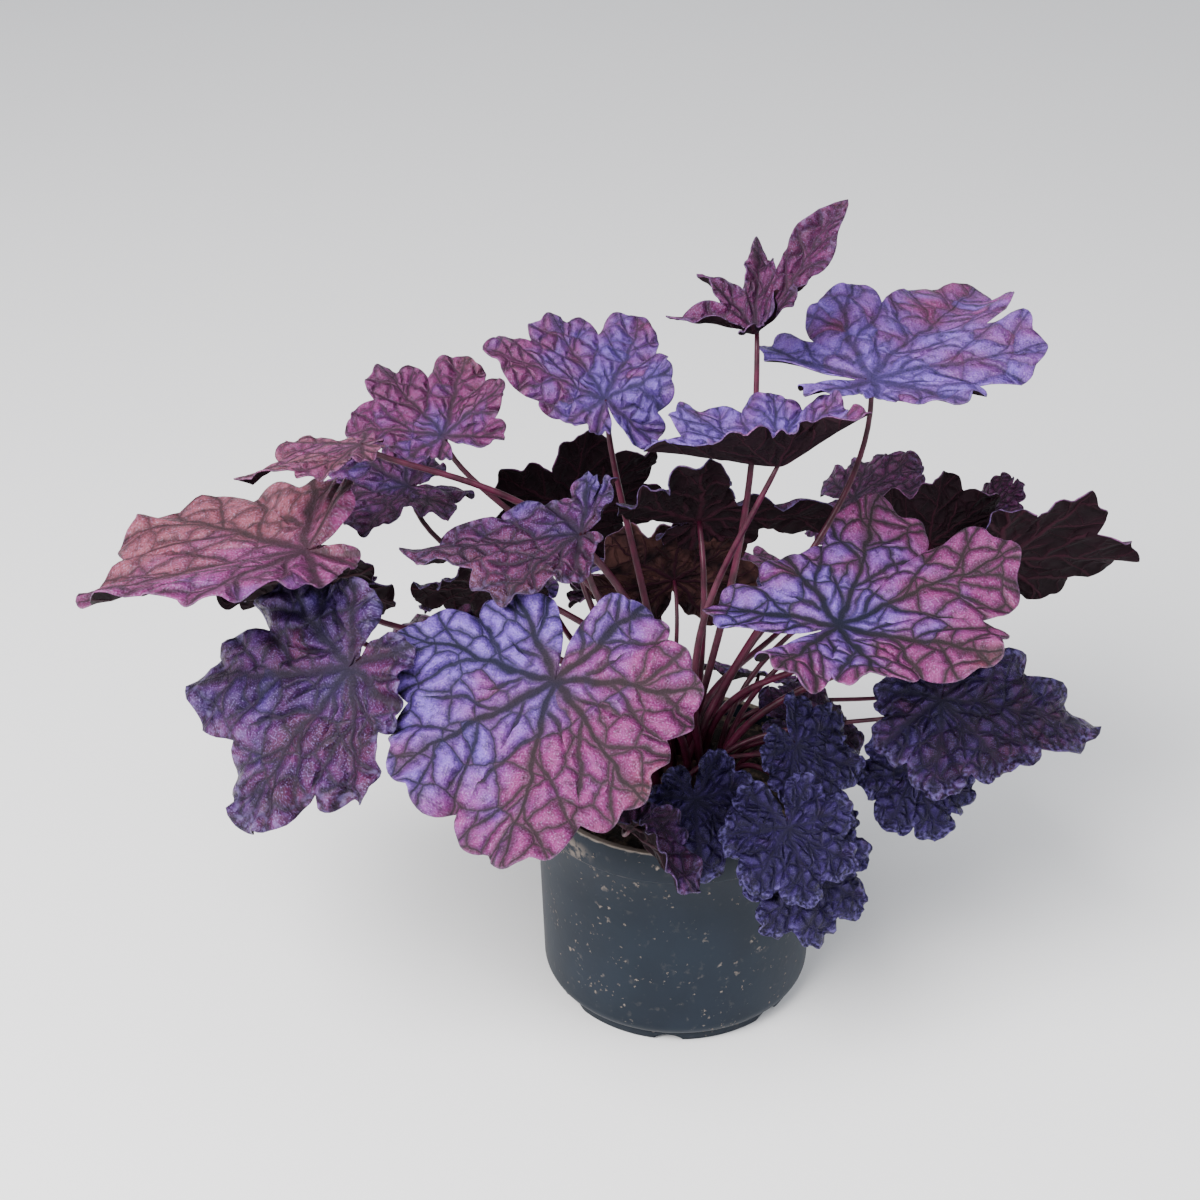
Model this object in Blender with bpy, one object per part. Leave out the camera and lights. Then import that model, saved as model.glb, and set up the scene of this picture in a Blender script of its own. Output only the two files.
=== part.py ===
"""A purple heuchera in its round nursery pot: pot, soil, rootstock and one node for each leaf.

Metres, +Z up. The origin is the middle of the pot's underside and the plant faces -Y.
"""

import math
from dataclasses import dataclass

import bmesh
import bpy
from mathutils import Matrix, Vector

MM = 0.001
GAP = 0.0003

# Pot
POT_HEIGHT = 0.105
POT_TOP_RADIUS = 0.063
POT_FOOT_RADIUS = 0.0585
POT_WALL = 0.0014
RIM_BAND = 0.0155
RIM_LIP = 0.0012
CORNER = 0.007
FOOT_INSET = 0.0045
FOOT_RISE = 0.0045
FOOT_WIDTH = 0.0050
FLOOR = 0.0016
CENTRE_PAD_RADIUS = 0.012
NOTCHES = 7
NOTCH_RADIUS = 0.0060
NOTCH_HEIGHT = 0.0032
FIRST_NOTCH = math.radians(-95)
POT_SIDES = 32

# Soil and rootstock
SOIL_TOP = 0.097
SOIL_HEAP = 0.003
CROWN_RADIUS = 0.014
CROWN_RISE = 0.008
CROWN_DEPTH = 0.010
CROWN_SIDES = 14
HOLE_SIDES = 6

# Stalks: rings of slots from the middle outwards, each a radius and how many stalks it holds
STALK_RINGS = ((0.0045, 4), (0.0106, 9), (0.0175, 13), (0.0240, 16))
STALK_DEPTH = 0.008
STALK_RISE = 0.002
STALK_POINTS = 6
STALK_SINK = 0.0001
LARGE_STALK_RADIUS = 0.0018
SMALL_STALK_RADIUS = 0.0013
STALK_TAPER = 0.6
STALK_TIP = 0.35

# Leaves
LOBE_STEP = math.radians(48)
LOBES_EACH_SIDE = 3
TOOTH_DEPTH = 0.06
BEND_STEPS = 12
BLADE_THICKNESS = 0.0009
LARGE_LEAF = 45
GREAT_LEAF = 70
EDGE_POINTS = 45
SMALL_EDGE_POINTS = 30

SURFACES = {
    "pot": ((0.040, 0.055, 0.075), 0.45),
    "soil": ((0.020, 0.013, 0.010), 0.95),
    "crown": ((0.060, 0.025, 0.020), 0.8),
    "leaf": ((0.200, 0.110, 0.300), 0.5),
}


@dataclass(frozen=True)
class Leaf:
    """One leaf: where its stalk meets the blade (mm), its length (mm) and how it is turned and bent (degrees).

    head is 0 towards -Y and 90 towards +X. pitch lowers the tip, and roll lowers the +X side of a leaf
    that faces -Y. reach and lift hold one value a lobe, from one side of the heart-shaped base round
    the tip to the other. cut is the depth between lobes, and blunt is 1 for pointed lobes and more for round
    ones. bow pushes the middle of the stalk aside (mm).
    """

    name: str
    at: tuple
    size: float
    head: float
    pitch: float
    roll: float
    droop: float = 8
    fold: float = 0
    ruffle: float = 14
    waves: int = 7
    phase: float = 0
    cut: float = 0.2
    blunt: float = 2.4
    bow: tuple = (0, 0, 0)
    reach: tuple = (1, 1, 1, 1, 1, 1, 1)
    lift: tuple = (0, 0, 0, 0, 0, 0, 0)


LEAVES = (
    Leaf("front", (-51, -80, 199), 76, -18, 38, 0, droop=10, fold=2, phase=0.5, cut=0.1,
         reach=(0.68, 0.95, 0.97, 1, 0.82, 0.84, 0.78), lift=(4, 4, 4, 4, 4, 4, 4)),
    Leaf("right", (59, -50, 206), 72, 110, -12, -14, fold=6, ruffle=16, phase=1,
         reach=(1, 0.7, 0.95, 1.1, 0.95, 0.62, 0.97), lift=(28, 15, 4, 4, 4, 4, 4)),
    Leaf("low_outer", (105, -31, 160), 42, -9, 40, 0, droop=15, waves=6,
         reach=(0.6, 0.75, 0.85, 1, 1, 2.05, 1.1), lift=(0, 0, 0, 0, -8, -24, -8)),
    Leaf("high_right", (75, 24, 277), 76, 97, -5, -20, droop=5, waves=5, cut=0.3, bow=(12, -13, 0),
         reach=(0.75, 0.2, 0.65, 0.95, 1.38, 0.8, 0.85), lift=(32, 22, 20, 8, -10, 0, 0)),
    Leaf("top", (28, 20, 300), 50, 130, 0, 0, droop=0, ruffle=24, cut=0.5, blunt=1.1,
         bow=(8, -20, 0), reach=(0.6, 0.55, 0.5, 1.3, 0.85, 0.8, 0.95),
         lift=(20, 60, 50, 46, 45, 34, 17)),
    Leaf("mid_top", (34, -32, 266), 50, -85, 0, 0, droop=0, ruffle=12, bow=(-17, 2, 0),
         reach=(1, 0.8, 1.05, 1.05, 0.85, 0.75, 1.25), lift=(30, 25, 10, 12, 42, 55, 45)),
    Leaf("upper", (-32, 20, 270), 48, -148, -28, 12, droop=5, ruffle=12, phase=0.5,
         reach=(0.8, 0.7, 0.97, 1, 1.15, 0.45, 0.4), lift=(-36, 20, 0, 0, 22, 0, -15)),
    Leaf("upper_left", (-97, 10, 259), 46, -140, -22, 12, droop=5, waves=6, bow=(0, 0, 16),
         reach=(0.75, 0.8, 0.9, 1, 0.9, 0.45, 0.35), lift=(25, 35, 5, 0, 0, 0, 0)),
    Leaf("left_lobe", (-126, -22, 270), 46, -80, 8, -10, droop=10, waves=6, bow=(0, 16, 46),
         reach=(0.3, 0.45, 0.9, 1.1, 0.6, 0.4, 0.3)),
    Leaf("left", (-149, -30, 228), 95, -82, 0, 0, droop=15, ruffle=10, waves=6, cut=0.1,
         reach=(0.45, 0.5, 1.05, 0.97, 0.72, 0.36, 0.32), lift=(55, 20, -5, -3, 18, 12, 5)),
    Leaf("low_left", (-131, -64, 195), 76, -68, 50, 25, droop=15,
         reach=(0.6, 0.75, 1.05, 1.07, 0.72, 0.42, 0.5), lift=(5, 5, 5, 5, 5, 5, 5)),
    Leaf("far_right", (138, 40, 186), 60, 97, 0, 70, droop=5, waves=6,
         reach=(0.5, 0.6, 0.85, 1, 0.55, 0.4, 0.5)),
    Leaf("back_right", (108, 50, 188), 38, 10, -80, 0, droop=0, ruffle=18, bow=(0, 6, 12)),
    Leaf("umbrella", (7, 22, 214), 60, 102, 0, 60, droop=10, ruffle=10, waves=6,
         reach=(1, 0.9, 0.35, 1.1, 0.3, 0.35, 0.4)),
    Leaf("mid_left", (-42, -28, 234), 58, -95, 0, 0, droop=5, waves=6,
         reach=(0.6, 0.5, 0.4, 1.25, 0.8, 0.45, 0.2), lift=(60, 50, 12, -8, -12, -20, 0)),
    Leaf("back_left", (-116, 58, 212), 48, -70, 0, 10, droop=15, fold=20, waves=6,
         reach=(0.6, 0.5, 0.8, 1, 0.9, 0.9, 0.8), lift=(5, 5, 5, 5, 5, 5, 5)),
    Leaf("mid_back", (-46, 75, 190), 48, 20, -70, 0, droop=0, waves=6, phase=1, bow=(-16, 6, 4)),
    Leaf("left_under", (-148, 6, 194), 50, -90, 0, -50, droop=15, waves=6,
         reach=(0.9, 0.9, 1, 1, 0.9, 0.8, 0.7), lift=(5, 5, 5, 5, 5, 5, 5)),
    Leaf("low_mid", (4, -61, 132), 35, 10, 60, 0, droop=15, ruffle=15,
         reach=(0.6, 0.62, 0.8, 1, 1, 0.85, 0.85), lift=(5, 5, 5, 5, 5, 5, 5)),
    Leaf("low_inner", (46, -38, 142), 33, 40, 40, 0, droop=15, ruffle=15, phase=1, bow=(2, 3, 0),
         reach=(0.55, 0.65, 0.85, 1, 1, 1, 1), lift=(5, 5, 5, 5, 5, 5, 5)),
    Leaf("low_curl", (41, -73, 126), 33, 20, 45, 0, droop=15, ruffle=15, phase=2,
         lift=(5, 5, 5, 5, 5, 5, 5)),
    Leaf("low_rim", (49, -75, 107), 33, 25, 65, 0, droop=15, ruffle=15, phase=3, bow=(0, -2, 10),
         lift=(5, 5, 5, 5, 5, 5, 5)),
    Leaf("low_fold", (-22, -77, 128), 38, 72, 36, 0, droop=15, fold=65, ruffle=10, waves=6,
         reach=(0.4, 0.4, 0.6, 1, 0.6, 0.4, 0.4), lift=(5, 5, 5, 5, 5, 5, 5)),
    Leaf("low_right", (98, -22, 120), 32, 30, 50, 0, droop=15, ruffle=15, lift=(5, 5, 5, 5, 5, 5, 5)),
    Leaf("low_small", (61, -41, 110), 16, 50, 40, 0, droop=15, ruffle=15, bow=(0, 0, 12),
         lift=(5, 5, 5, 5, 5, 5, 5)),
    Leaf("under_right", (52, 2, 126), 30, 95, 20, -10, droop=15, fold=10, waves=6,
         lift=(5, 5, 5, 5, 5, 5, 5)),
    Leaf("back_top", (80, 90, 190), 36, 60, -20, -20, droop=15, waves=6, phase=1, bow=(0, 0, 14),
         lift=(5, 5, 5, 5, 5, 5, 5)),
    Leaf("back_tip", (138, 78, 190), 20, 80, -45, -20, droop=15, waves=6, phase=1, bow=(0, 26, 10),
         lift=(5, 5, 5, 5, 5, 5, 5)),
    Leaf("rear_left", (-60, 95, 150), 56, -150, 20, 0, droop=15, waves=6, bow=(-3, 5, -5),
         lift=(5, 5, 5, 5, 5, 5, 5)),
    Leaf("rear_mid", (-8, 112, 132), 48, 188, 25, 0, droop=15, waves=6, phase=1,
         lift=(5, 5, 5, 5, 5, 5, 5)),
    Leaf("rear_right", (62, 95, 145), 52, 145, 20, 0, droop=15, waves=6, phase=1,
         lift=(5, 5, 5, 5, 5, 5, 5)),
    Leaf("rear_inner", (-2, 43, 174), 42, 8, -72, 0, droop=0, ruffle=22),
    Leaf("rear_far_left", (-110, 52, 138), 44, -115, 25, 0, droop=15, waves=6,
         lift=(5, 5, 5, 5, 5, 5, 5)),
    Leaf("rear_far_right", (122, 40, 132), 44, 95, 30, 0, droop=15, waves=6,
         lift=(5, 5, 5, 5, 5, 5, 5)),
    Leaf("rear_low_right", (38, 62, 115), 34, 160, 35, 0, droop=15, waves=6, phase=1,
         lift=(5, 5, 5, 5, 5, 5, 5)),
    Leaf("rear_low_left", (-35, 60, 112), 34, -150, 35, 0, droop=15, waves=6,
         lift=(5, 5, 5, 5, 5, 5, 5)),
    Leaf("under_left", (-78, 18, 186), 42, -80, 0, -45, droop=15, waves=6, phase=1,
         reach=(0.9, 0.9, 1, 0.85, 0.8, 0.6, 0.6), lift=(5, 5, 5, 5, 5, 5, 5)),
)


def outline(theta, cut, blunt):
    """Share of the leaf's length that its edge reaches at this angle from the tip lobe."""
    lobe = max(-LOBES_EACH_SIDE, min(LOBES_EACH_SIDE, round(theta / LOBE_STEP)))
    across = theta / LOBE_STEP - lobe
    width = 1 - 0.22 * (theta / (LOBES_EACH_SIDE * LOBE_STEP)) ** 2
    lobed = 1 - cut * min(1, 2 * abs(across)) ** blunt
    toothed = 1 - TOOTH_DEPTH * (2 * abs(3 * across - round(3 * across))) ** 1.6
    notch = max(0, min(1, (abs(theta) - math.radians(163)) / math.radians(17)))
    return width * lobed * toothed * (1 - 0.8 * notch * notch * (3 - 2 * notch))


def along(values, theta):
    """A smooth run through the values of the lobes."""
    place = max(-LOBES_EACH_SIDE, min(LOBES_EACH_SIDE, theta / LOBE_STEP)) + LOBES_EACH_SIDE
    lobe = min(int(place), 2 * LOBES_EACH_SIDE - 1)
    share = place - lobe
    share = share * share * (3 - 2 * share)
    return values[lobe] * (1 - share) + values[lobe + 1] * share


def leaf_axes(leaf):
    """The leaf's own directions: towards its tip, towards its side and up out of its upper face."""
    head, pitch, roll = (math.radians(turn) for turn in (leaf.head, leaf.pitch, leaf.roll))
    level = Vector((math.sin(head), -math.cos(head), 0))
    tip = level * math.cos(pitch) - Vector((0, 0, 1)) * math.sin(pitch)
    side = Vector((math.cos(head), math.sin(head), 0))
    up = tip.cross(side)
    return tip, side * math.cos(roll) - up * math.sin(roll), up * math.cos(roll) + side * math.sin(roll)


def leaf_point(leaf, axes, theta, share):
    """A point of the blade's middle surface, along a ray that leaves the stalk at theta and bends as it goes."""
    tip, side, up = axes
    step = share * leaf.size * MM * outline(theta, leaf.cut, leaf.blunt) * along(leaf.reach, theta) / BEND_STEPS
    start = along(leaf.lift, theta) + leaf.fold * math.sin(theta) ** 2
    out = 0
    rise = 0
    for index in range(BEND_STEPS):
        run = share * (index + 0.5) / BEND_STEPS
        wave = leaf.ruffle * run * run * math.sin(leaf.waves * theta + leaf.phase)
        slope = math.radians(start - leaf.droop * run + wave)
        out += step * math.cos(slope)
        rise += step * math.sin(slope)
    middle = Vector(leaf.at) * MM
    return middle + tip * out * math.cos(theta) + side * out * math.sin(theta) + up * rise


def add_object(name, shape, surface):
    mesh = bpy.data.meshes.new(name)
    shape.to_mesh(mesh)
    shape.free()
    part = bpy.data.objects.new(name, mesh)
    bpy.context.scene.collection.objects.link(part)
    if surface:
        mesh.materials.append(material(name, *SURFACES[surface]))
    return part


def material(name, colour, roughness):
    made = bpy.data.materials.new(name)
    made.use_nodes = True
    shader = made.node_tree.nodes["Principled BSDF"]
    shader.inputs["Base Color"].default_value = (*colour, 1)
    shader.inputs["Roughness"].default_value = roughness
    shader.inputs["Metallic"].default_value = 0
    made.diffuse_color = (*colour, 1)
    return made


def apply_modifiers(part):
    graph = bpy.context.evaluated_depsgraph_get()
    finished = bpy.data.meshes.new_from_object(part.evaluated_get(graph))
    rough = part.data
    part.modifiers.clear()
    part.data = finished
    finished.name = part.name
    bpy.data.meshes.remove(rough)


def boolean_with(part, tools, operation):
    """One Boolean with all the tools at once, applied, with the tools then removed."""
    group = bpy.data.collections.new(part.name + "_tools")
    bpy.context.scene.collection.children.link(group)
    for tool in tools:
        group.objects.link(tool)
    step = part.modifiers.new(operation.lower(), "BOOLEAN")
    step.operation = operation
    step.operand_type = "COLLECTION"
    step.collection = group
    apply_modifiers(part)
    for tool in tools:
        bpy.data.objects.remove(tool, do_unlink=True)
    bpy.data.collections.remove(group)


def turned(name, profile, sides, surface):
    """A closed solid of revolution from its (radius, height) profile, which starts and ends on the axis."""
    shape = bmesh.new()
    points = [shape.verts.new((radius, 0, height)) for radius, height in profile]
    edges = [shape.edges.new(pair) for pair in zip(points, points[1:])]
    bmesh.ops.spin(
        shape,
        geom=points + edges,
        cent=(0, 0, 0),
        axis=(0, 0, 1),
        angle=math.tau,
        steps=sides,
        use_merge=True,
    )
    bmesh.ops.remove_doubles(shape, verts=shape.verts, dist=1e-6)
    bmesh.ops.recalc_face_normals(shape, faces=shape.faces)
    return add_object(name, shape, surface)


def wall_radius(height):
    """Outer radius of the tapered wall."""
    return POT_FOOT_RADIUS + (POT_TOP_RADIUS - RIM_LIP - POT_FOOT_RADIUS) * height / POT_HEIGHT


def build_pot():
    band = POT_HEIGHT - RIM_BAND
    foot = wall_radius(0) - FOOT_INSET
    top_of_corner = FOOT_RISE + CORNER
    corner = wall_radius(top_of_corner)
    inside_floor = FOOT_RISE + FLOOR
    profile = [
        (0, 0),
        (CENTRE_PAD_RADIUS, 0),
        (CENTRE_PAD_RADIUS + 0.001, FOOT_RISE),
        (foot - FOOT_WIDTH, FOOT_RISE),
        (foot - FOOT_WIDTH, 0),
        (foot, 0),
        (foot, FOOT_RISE - 0.001),
        (corner - 0.62 * CORNER, FOOT_RISE),
        (corner - 0.2 * CORNER, FOOT_RISE + 0.35 * CORNER),
        (corner, top_of_corner),
        (wall_radius(band), band),
        (POT_TOP_RADIUS, band + RIM_LIP),
        (POT_TOP_RADIUS, POT_HEIGHT - 0.0008),
        (POT_TOP_RADIUS - 0.0008, POT_HEIGHT),
        (POT_TOP_RADIUS - RIM_LIP - POT_WALL, POT_HEIGHT),
        (wall_radius(band) - POT_WALL, band),
        (corner - POT_WALL, top_of_corner + FLOOR),
        (corner - CORNER, inside_floor),
        (0, inside_floor),
    ]
    pot = turned("pot", profile, POT_SIDES, "pot")
    notches = []
    for index in range(NOTCHES):
        turn = Matrix.Rotation(FIRST_NOTCH + index * math.tau / NOTCHES, 4, "Z")
        lie_flat = Matrix.Translation((foot - FOOT_WIDTH / 2, 0, 0)) @ Matrix.Rotation(math.pi / 2, 4, "Y")
        squash = Matrix.Diagonal((1, 1, NOTCH_HEIGHT / NOTCH_RADIUS, 1))
        shape = bmesh.new()
        bmesh.ops.create_cone(
            shape,
            cap_ends=True,
            segments=8,
            radius1=NOTCH_RADIUS,
            radius2=NOTCH_RADIUS,
            depth=2 * FOOT_WIDTH,
            matrix=turn @ squash @ lie_flat,
        )
        notches.append(add_object(f"notch_{index}", shape, None))
    boolean_with(pot, notches, "DIFFERENCE")
    pot.data.shade_smooth()
    pot.data.set_sharp_from_angle(angle=math.radians(30))


def stalk_slots():
    """Where each stalk stands: the tallest leaves in the middle rings, each near its own leaf's side."""
    waiting = sorted(LEAVES, key=lambda leaf: -leaf.at[2])
    slots = {}
    for radius, count in STALK_RINGS:
        ring, waiting = waiting[:count], waiting[count:]
        ring.sort(key=lambda leaf: math.atan2(leaf.at[1], leaf.at[0]))
        sums = [0, 0]
        for index, leaf in enumerate(ring):
            lag = math.atan2(leaf.at[1], leaf.at[0]) - index * math.tau / count
            sums[0] += math.cos(lag)
            sums[1] += math.sin(lag)
        start = math.atan2(sums[1], sums[0])
        for index, leaf in enumerate(ring):
            turn = start + index * math.tau / count
            slots[leaf.name] = Vector((radius * math.cos(turn), radius * math.sin(turn), 0))
    return slots


def stalk_radius(leaf):
    return LARGE_STALK_RADIUS if leaf.size > LARGE_LEAF else SMALL_STALK_RADIUS


def soil_height(radius):
    return SOIL_TOP + SOIL_HEAP * (1 - (radius / POT_TOP_RADIUS) ** 2)


def stalk_holes(slots, in_crown):
    """One plain cutter for each stalk that stands in the crown, or outside it, with its clearance."""
    holes = []
    depth = STALK_DEPTH + GAP
    for leaf in LEAVES:
        wide = stalk_radius(leaf) + GAP
        slot = slots[leaf.name]
        if (slot.length < CROWN_RADIUS) != in_crown:
            continue
        bottom = soil_height(slot.length) - depth
        shape = bmesh.new()
        bmesh.ops.create_cone(
            shape,
            cap_ends=True,
            segments=HOLE_SIDES,
            radius1=wide / math.cos(math.pi / HOLE_SIDES),
            radius2=wide / math.cos(math.pi / HOLE_SIDES),
            depth=0.04,
            matrix=Matrix.Translation(slot + Vector((0, 0, bottom + 0.02))),
        )
        holes.append(add_object("hole_" + leaf.name, shape, None))
    return holes


def build_soil(slots):
    edge = wall_radius(SOIL_TOP) - POT_WALL - GAP
    bottom = FOOT_RISE + FLOOR + GAP
    low = wall_radius(bottom) - CORNER - POT_WALL - GAP
    shoulder = wall_radius(FOOT_RISE + CORNER) - POT_WALL - GAP - 0.0005
    rings = (0.035, 0.045)
    profile = [
        (0, bottom),
        (low - 0.001, bottom),
        (shoulder, FOOT_RISE + CORNER + FLOOR + 0.001),
        (edge, SOIL_TOP - 0.004),
        (edge, soil_height(edge)),
    ]
    profile += [(radius, soil_height(radius)) for radius in reversed(rings)]
    profile += [
        (CROWN_RADIUS + GAP, soil_height(CROWN_RADIUS)),
        (CROWN_RADIUS + GAP, SOIL_TOP - CROWN_DEPTH - GAP),
        (0, SOIL_TOP - CROWN_DEPTH - GAP),
    ]
    soil = turned("soil", profile, POT_SIDES, "soil")
    boolean_with(soil, stalk_holes(slots, in_crown=False), "DIFFERENCE")


def build_crown(slots):
    top = soil_height(0) + CROWN_RISE
    profile = [
        (0, SOIL_TOP - CROWN_DEPTH),
        (CROWN_RADIUS, SOIL_TOP - CROWN_DEPTH),
        (CROWN_RADIUS, soil_height(CROWN_RADIUS)),
        (0.85 * CROWN_RADIUS, soil_height(0) + 0.5 * CROWN_RISE),
        (0.5 * CROWN_RADIUS, top - 0.001),
        (0, top),
    ]
    crown = turned("crown", profile, CROWN_SIDES, "crown")
    boolean_with(crown, stalk_holes(slots, in_crown=True), "DIFFERENCE")


def blade_rings(leaf):
    """The rings of the blade's flat disc: share of the way out and how many points."""
    if leaf.size > GREAT_LEAF:
        return (0.25, 9), (0.62, 24), (1, EDGE_POINTS)
    if leaf.size > LARGE_LEAF:
        return (0.45, 12), (1, EDGE_POINTS)
    return (0.5, 8), (1, SMALL_EDGE_POINTS)


def flat_disc(rings):
    """A unit disc of rings round one middle point, in which a point's angle and radius place it on the leaf."""
    shape = bmesh.new()
    loops = []
    for radius, points in rings:
        first = not loops
        made = bmesh.ops.create_circle(shape, cap_ends=first, cap_tris=True, radius=radius, segments=points)
        loops.append([vert for vert in made["verts"] if vert.co.length > radius / 2])
    for inner, outer in zip(loops, loops[1:]):
        edges = {edge for vert in inner + outer for edge in vert.link_edges}
        rims = [edge for edge in edges if edge.is_boundary or edge.is_wire]
        bmesh.ops.triangle_fill(shape, use_beauty=True, edges=rims, normal=(0, 0, 1))
    return shape


def build_blade(leaf):
    """The flat disc carried out along the leaf's bent rays, then given its thickness."""
    axes = leaf_axes(leaf)
    shape = flat_disc(blade_rings(leaf))
    for vert in shape.verts:
        flat = vert.co.copy()
        vert.co = leaf_point(leaf, axes, math.atan2(flat.x, flat.y), flat.length)
    bmesh.ops.recalc_face_normals(shape, faces=shape.faces)
    blade = add_object("leaf_" + leaf.name, shape, "leaf")
    slab = blade.modifiers.new("thickness", "SOLIDIFY")
    slab.thickness = BLADE_THICKNESS
    slab.offset = 0
    apply_modifiers(blade)
    return blade


def stalk_route(leaf, slot):
    """Points from inside the soil, straight up out of it and in one arc to the underside of the blade."""
    _, _, up = leaf_axes(leaf)
    ground = slot + Vector((0, 0, soil_height(slot.length)))
    in_crown = slot.length < CROWN_RADIUS
    foot = ground + Vector((0, 0, CROWN_RISE + STALK_RISE if in_crown else STALK_RISE))
    end = Vector(leaf.at) * MM + up * STALK_SINK
    span = (end - foot).length
    side = Vector((end.x, end.y, 0)).normalized()
    arrive = (up + side * 0.15 + Vector((0, 0, 0.25))).normalized()
    push = Vector(leaf.bow) * MM
    first = foot + Vector((0, 0, 0.45 * span)) + side * 0.05 * span + push
    last = end - arrive * 0.35 * span + push
    route = [ground - Vector((0, 0, STALK_DEPTH))]
    for index in range(STALK_POINTS):
        share = index / (STALK_POINTS - 1)
        rest = 1 - share
        route.append(
            foot * rest**3
            + first * 3 * rest**2 * share
            + last * 3 * rest * share**2
            + end * share**3
        )
    return route


def build_stalk(leaf, slot):
    curve = bpy.data.curves.new("stalk_" + leaf.name, "CURVE")
    curve.dimensions = "3D"
    curve.bevel_depth = stalk_radius(leaf)
    curve.bevel_resolution = 1
    curve.use_fill_caps = True
    route = stalk_route(leaf, slot)
    spline = curve.splines.new("POLY")
    spline.points.add(len(route) - 1)
    for index, (point, place) in enumerate(zip(spline.points, route)):
        point.co = (*place, 1)
        share = max(0, index - 1) / (len(route) - 2)
        point.radius = 1 - (1 - STALK_TAPER) * share
    spline.points[-1].radius = STALK_TIP
    guide = bpy.data.objects.new("stalk_" + leaf.name, curve)
    bpy.context.scene.collection.objects.link(guide)
    graph = bpy.context.evaluated_depsgraph_get()
    mesh = bpy.data.meshes.new_from_object(guide.evaluated_get(graph))
    bpy.data.objects.remove(guide, do_unlink=True)
    shape = bmesh.new()
    shape.from_mesh(mesh)
    bpy.data.meshes.remove(mesh)
    bmesh.ops.remove_doubles(shape, verts=shape.verts, dist=1e-6)
    bmesh.ops.recalc_face_normals(shape, faces=shape.faces)
    return add_object("stalk_" + leaf.name, shape, None)


def build_leaf(leaf, slot):
    """Blade and stalk in one solid."""
    blade = build_blade(leaf)
    boolean_with(blade, [build_stalk(leaf, slot)], "UNION")
    blade.data.shade_smooth()


def main():
    for old in list(bpy.data.objects):
        bpy.data.objects.remove(old, do_unlink=True)
    slots = stalk_slots()
    build_pot()
    build_soil(slots)
    build_crown(slots)
    for leaf in LEAVES:
        build_leaf(leaf, slots[leaf.name])


main()
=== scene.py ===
import math
import random
from dataclasses import dataclass

import bmesh
import bpy
import numpy as np
from mathutils import Matrix, Vector, noise


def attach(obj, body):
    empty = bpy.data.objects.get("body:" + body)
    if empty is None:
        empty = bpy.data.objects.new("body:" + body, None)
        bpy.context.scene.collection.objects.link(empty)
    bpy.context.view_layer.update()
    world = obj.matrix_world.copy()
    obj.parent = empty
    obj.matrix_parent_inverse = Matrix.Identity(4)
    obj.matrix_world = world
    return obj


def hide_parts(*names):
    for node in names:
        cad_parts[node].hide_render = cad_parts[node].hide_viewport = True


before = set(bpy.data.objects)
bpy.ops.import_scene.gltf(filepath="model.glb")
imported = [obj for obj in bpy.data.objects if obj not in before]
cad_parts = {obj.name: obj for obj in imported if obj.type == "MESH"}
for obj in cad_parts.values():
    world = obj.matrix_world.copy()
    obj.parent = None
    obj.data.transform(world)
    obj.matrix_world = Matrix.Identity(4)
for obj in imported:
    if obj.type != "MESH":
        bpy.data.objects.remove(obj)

bl_info = {
    "name": "Potted heuchera",
    "version": (1, 0, 0),
    "blender": (4, 5, 0),
    "location": "3D View > Sidebar > Heuchera",
    "description": "Grows the leaves, soil and pot of a purple heuchera round its packed solids",
    "category": "Add Mesh",
}

MM = 0.001
SEED = 11
SAME_PLACE = 1e-6
NO_LENGTH = 1e-12

# Pot
POT_HEIGHT = 0.105
POT_TOP_RADIUS = 0.063
POT_FOOT_RADIUS = 0.0585
POT_WALL = 0.0014
RIM_BAND = 0.0155
RIM_LIP = 0.0012
CORNER = 0.007
FOOT_INSET = 0.0045
FOOT_RISE = 0.0045
FOOT_WIDTH = 0.0050
FOOT_SLACK = 0.0005
FLOOR = 0.0016
CENTRE_PAD_RADIUS = 0.012
NOTCHES = 7
NOTCH_RADIUS = 0.0060
NOTCH_HEIGHT = 0.0032
FIRST_NOTCH = math.radians(-95)
LIP_ROUND = 0.0006
POT_SMEAR = (-0.047, -0.041, 0.095)

# Soil and rootstock
SOIL_TOP = 0.097
SOIL_HEAP = 0.003
SOIL_GAP = 0.0003
SOIL_RINGS = 34
SOIL_STEPS = 120
SOIL_ROUGHNESS = 0.0018
SOIL_EDGE = 0.004
CRUMB_RADIUS = (0.0006, 0.0016)
RIM_HEAP = 0.006
DARK_BARK = (0.030, 0.010, 0.010)
PALE_BARK = (0.16, 0.075, 0.055)
CROWN_RADIUS = 0.014
CROWN_RISE = 0.008
CROWN_DEPTH = 0.010
BARK_ROUGHNESS = 0.0011

# Stalks: rings of slots from the middle outwards, each a radius and how many stalks it holds
STALK_RINGS = ((0.0045, 4), (0.0106, 9), (0.0175, 13), (0.0240, 16))
STALK_DEPTH = 0.008
STALK_RISE = 0.002
STALK_POINTS = 26
STALK_TAPER = 0.6
STALK_TIP = 0.5
LARGE_STALK_RADIUS = 0.0018
SMALL_STALK_RADIUS = 0.0013

# Leaves
LOBE_STEP = math.radians(48)
LOBES_EACH_SIDE = 3
TOOTH_DEPTH = 0.06
LARGE_LEAF = 45
HUB_BEND = 0.04
SEAM_FROM = math.radians(150)
SIDE_VEIN_STEP = 0.27
SIDE_VEIN_LEAN = 1.19
MAIN_VEIN_WIDTH = (0.023, 0.007)
SIDE_VEIN_WIDTH = (0.014, 0.008)
NET_SCALE = 6.0
FRILL_WAVES = 19
CRUMPLE = 1.1
LUMP_HEIGHT = 0.018
STRAIGHT_WITHIN = 0.15
LARGE_GRID = (240, 32)
SMALL_GRID = (160, 22)
TEETH_PER_LOBE = 3
SIDE_NARROWING = 0.22
BASE_NOTCH_FROM = math.radians(163)
BASE_NOTCH_DEPTH = 0.8

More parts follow.
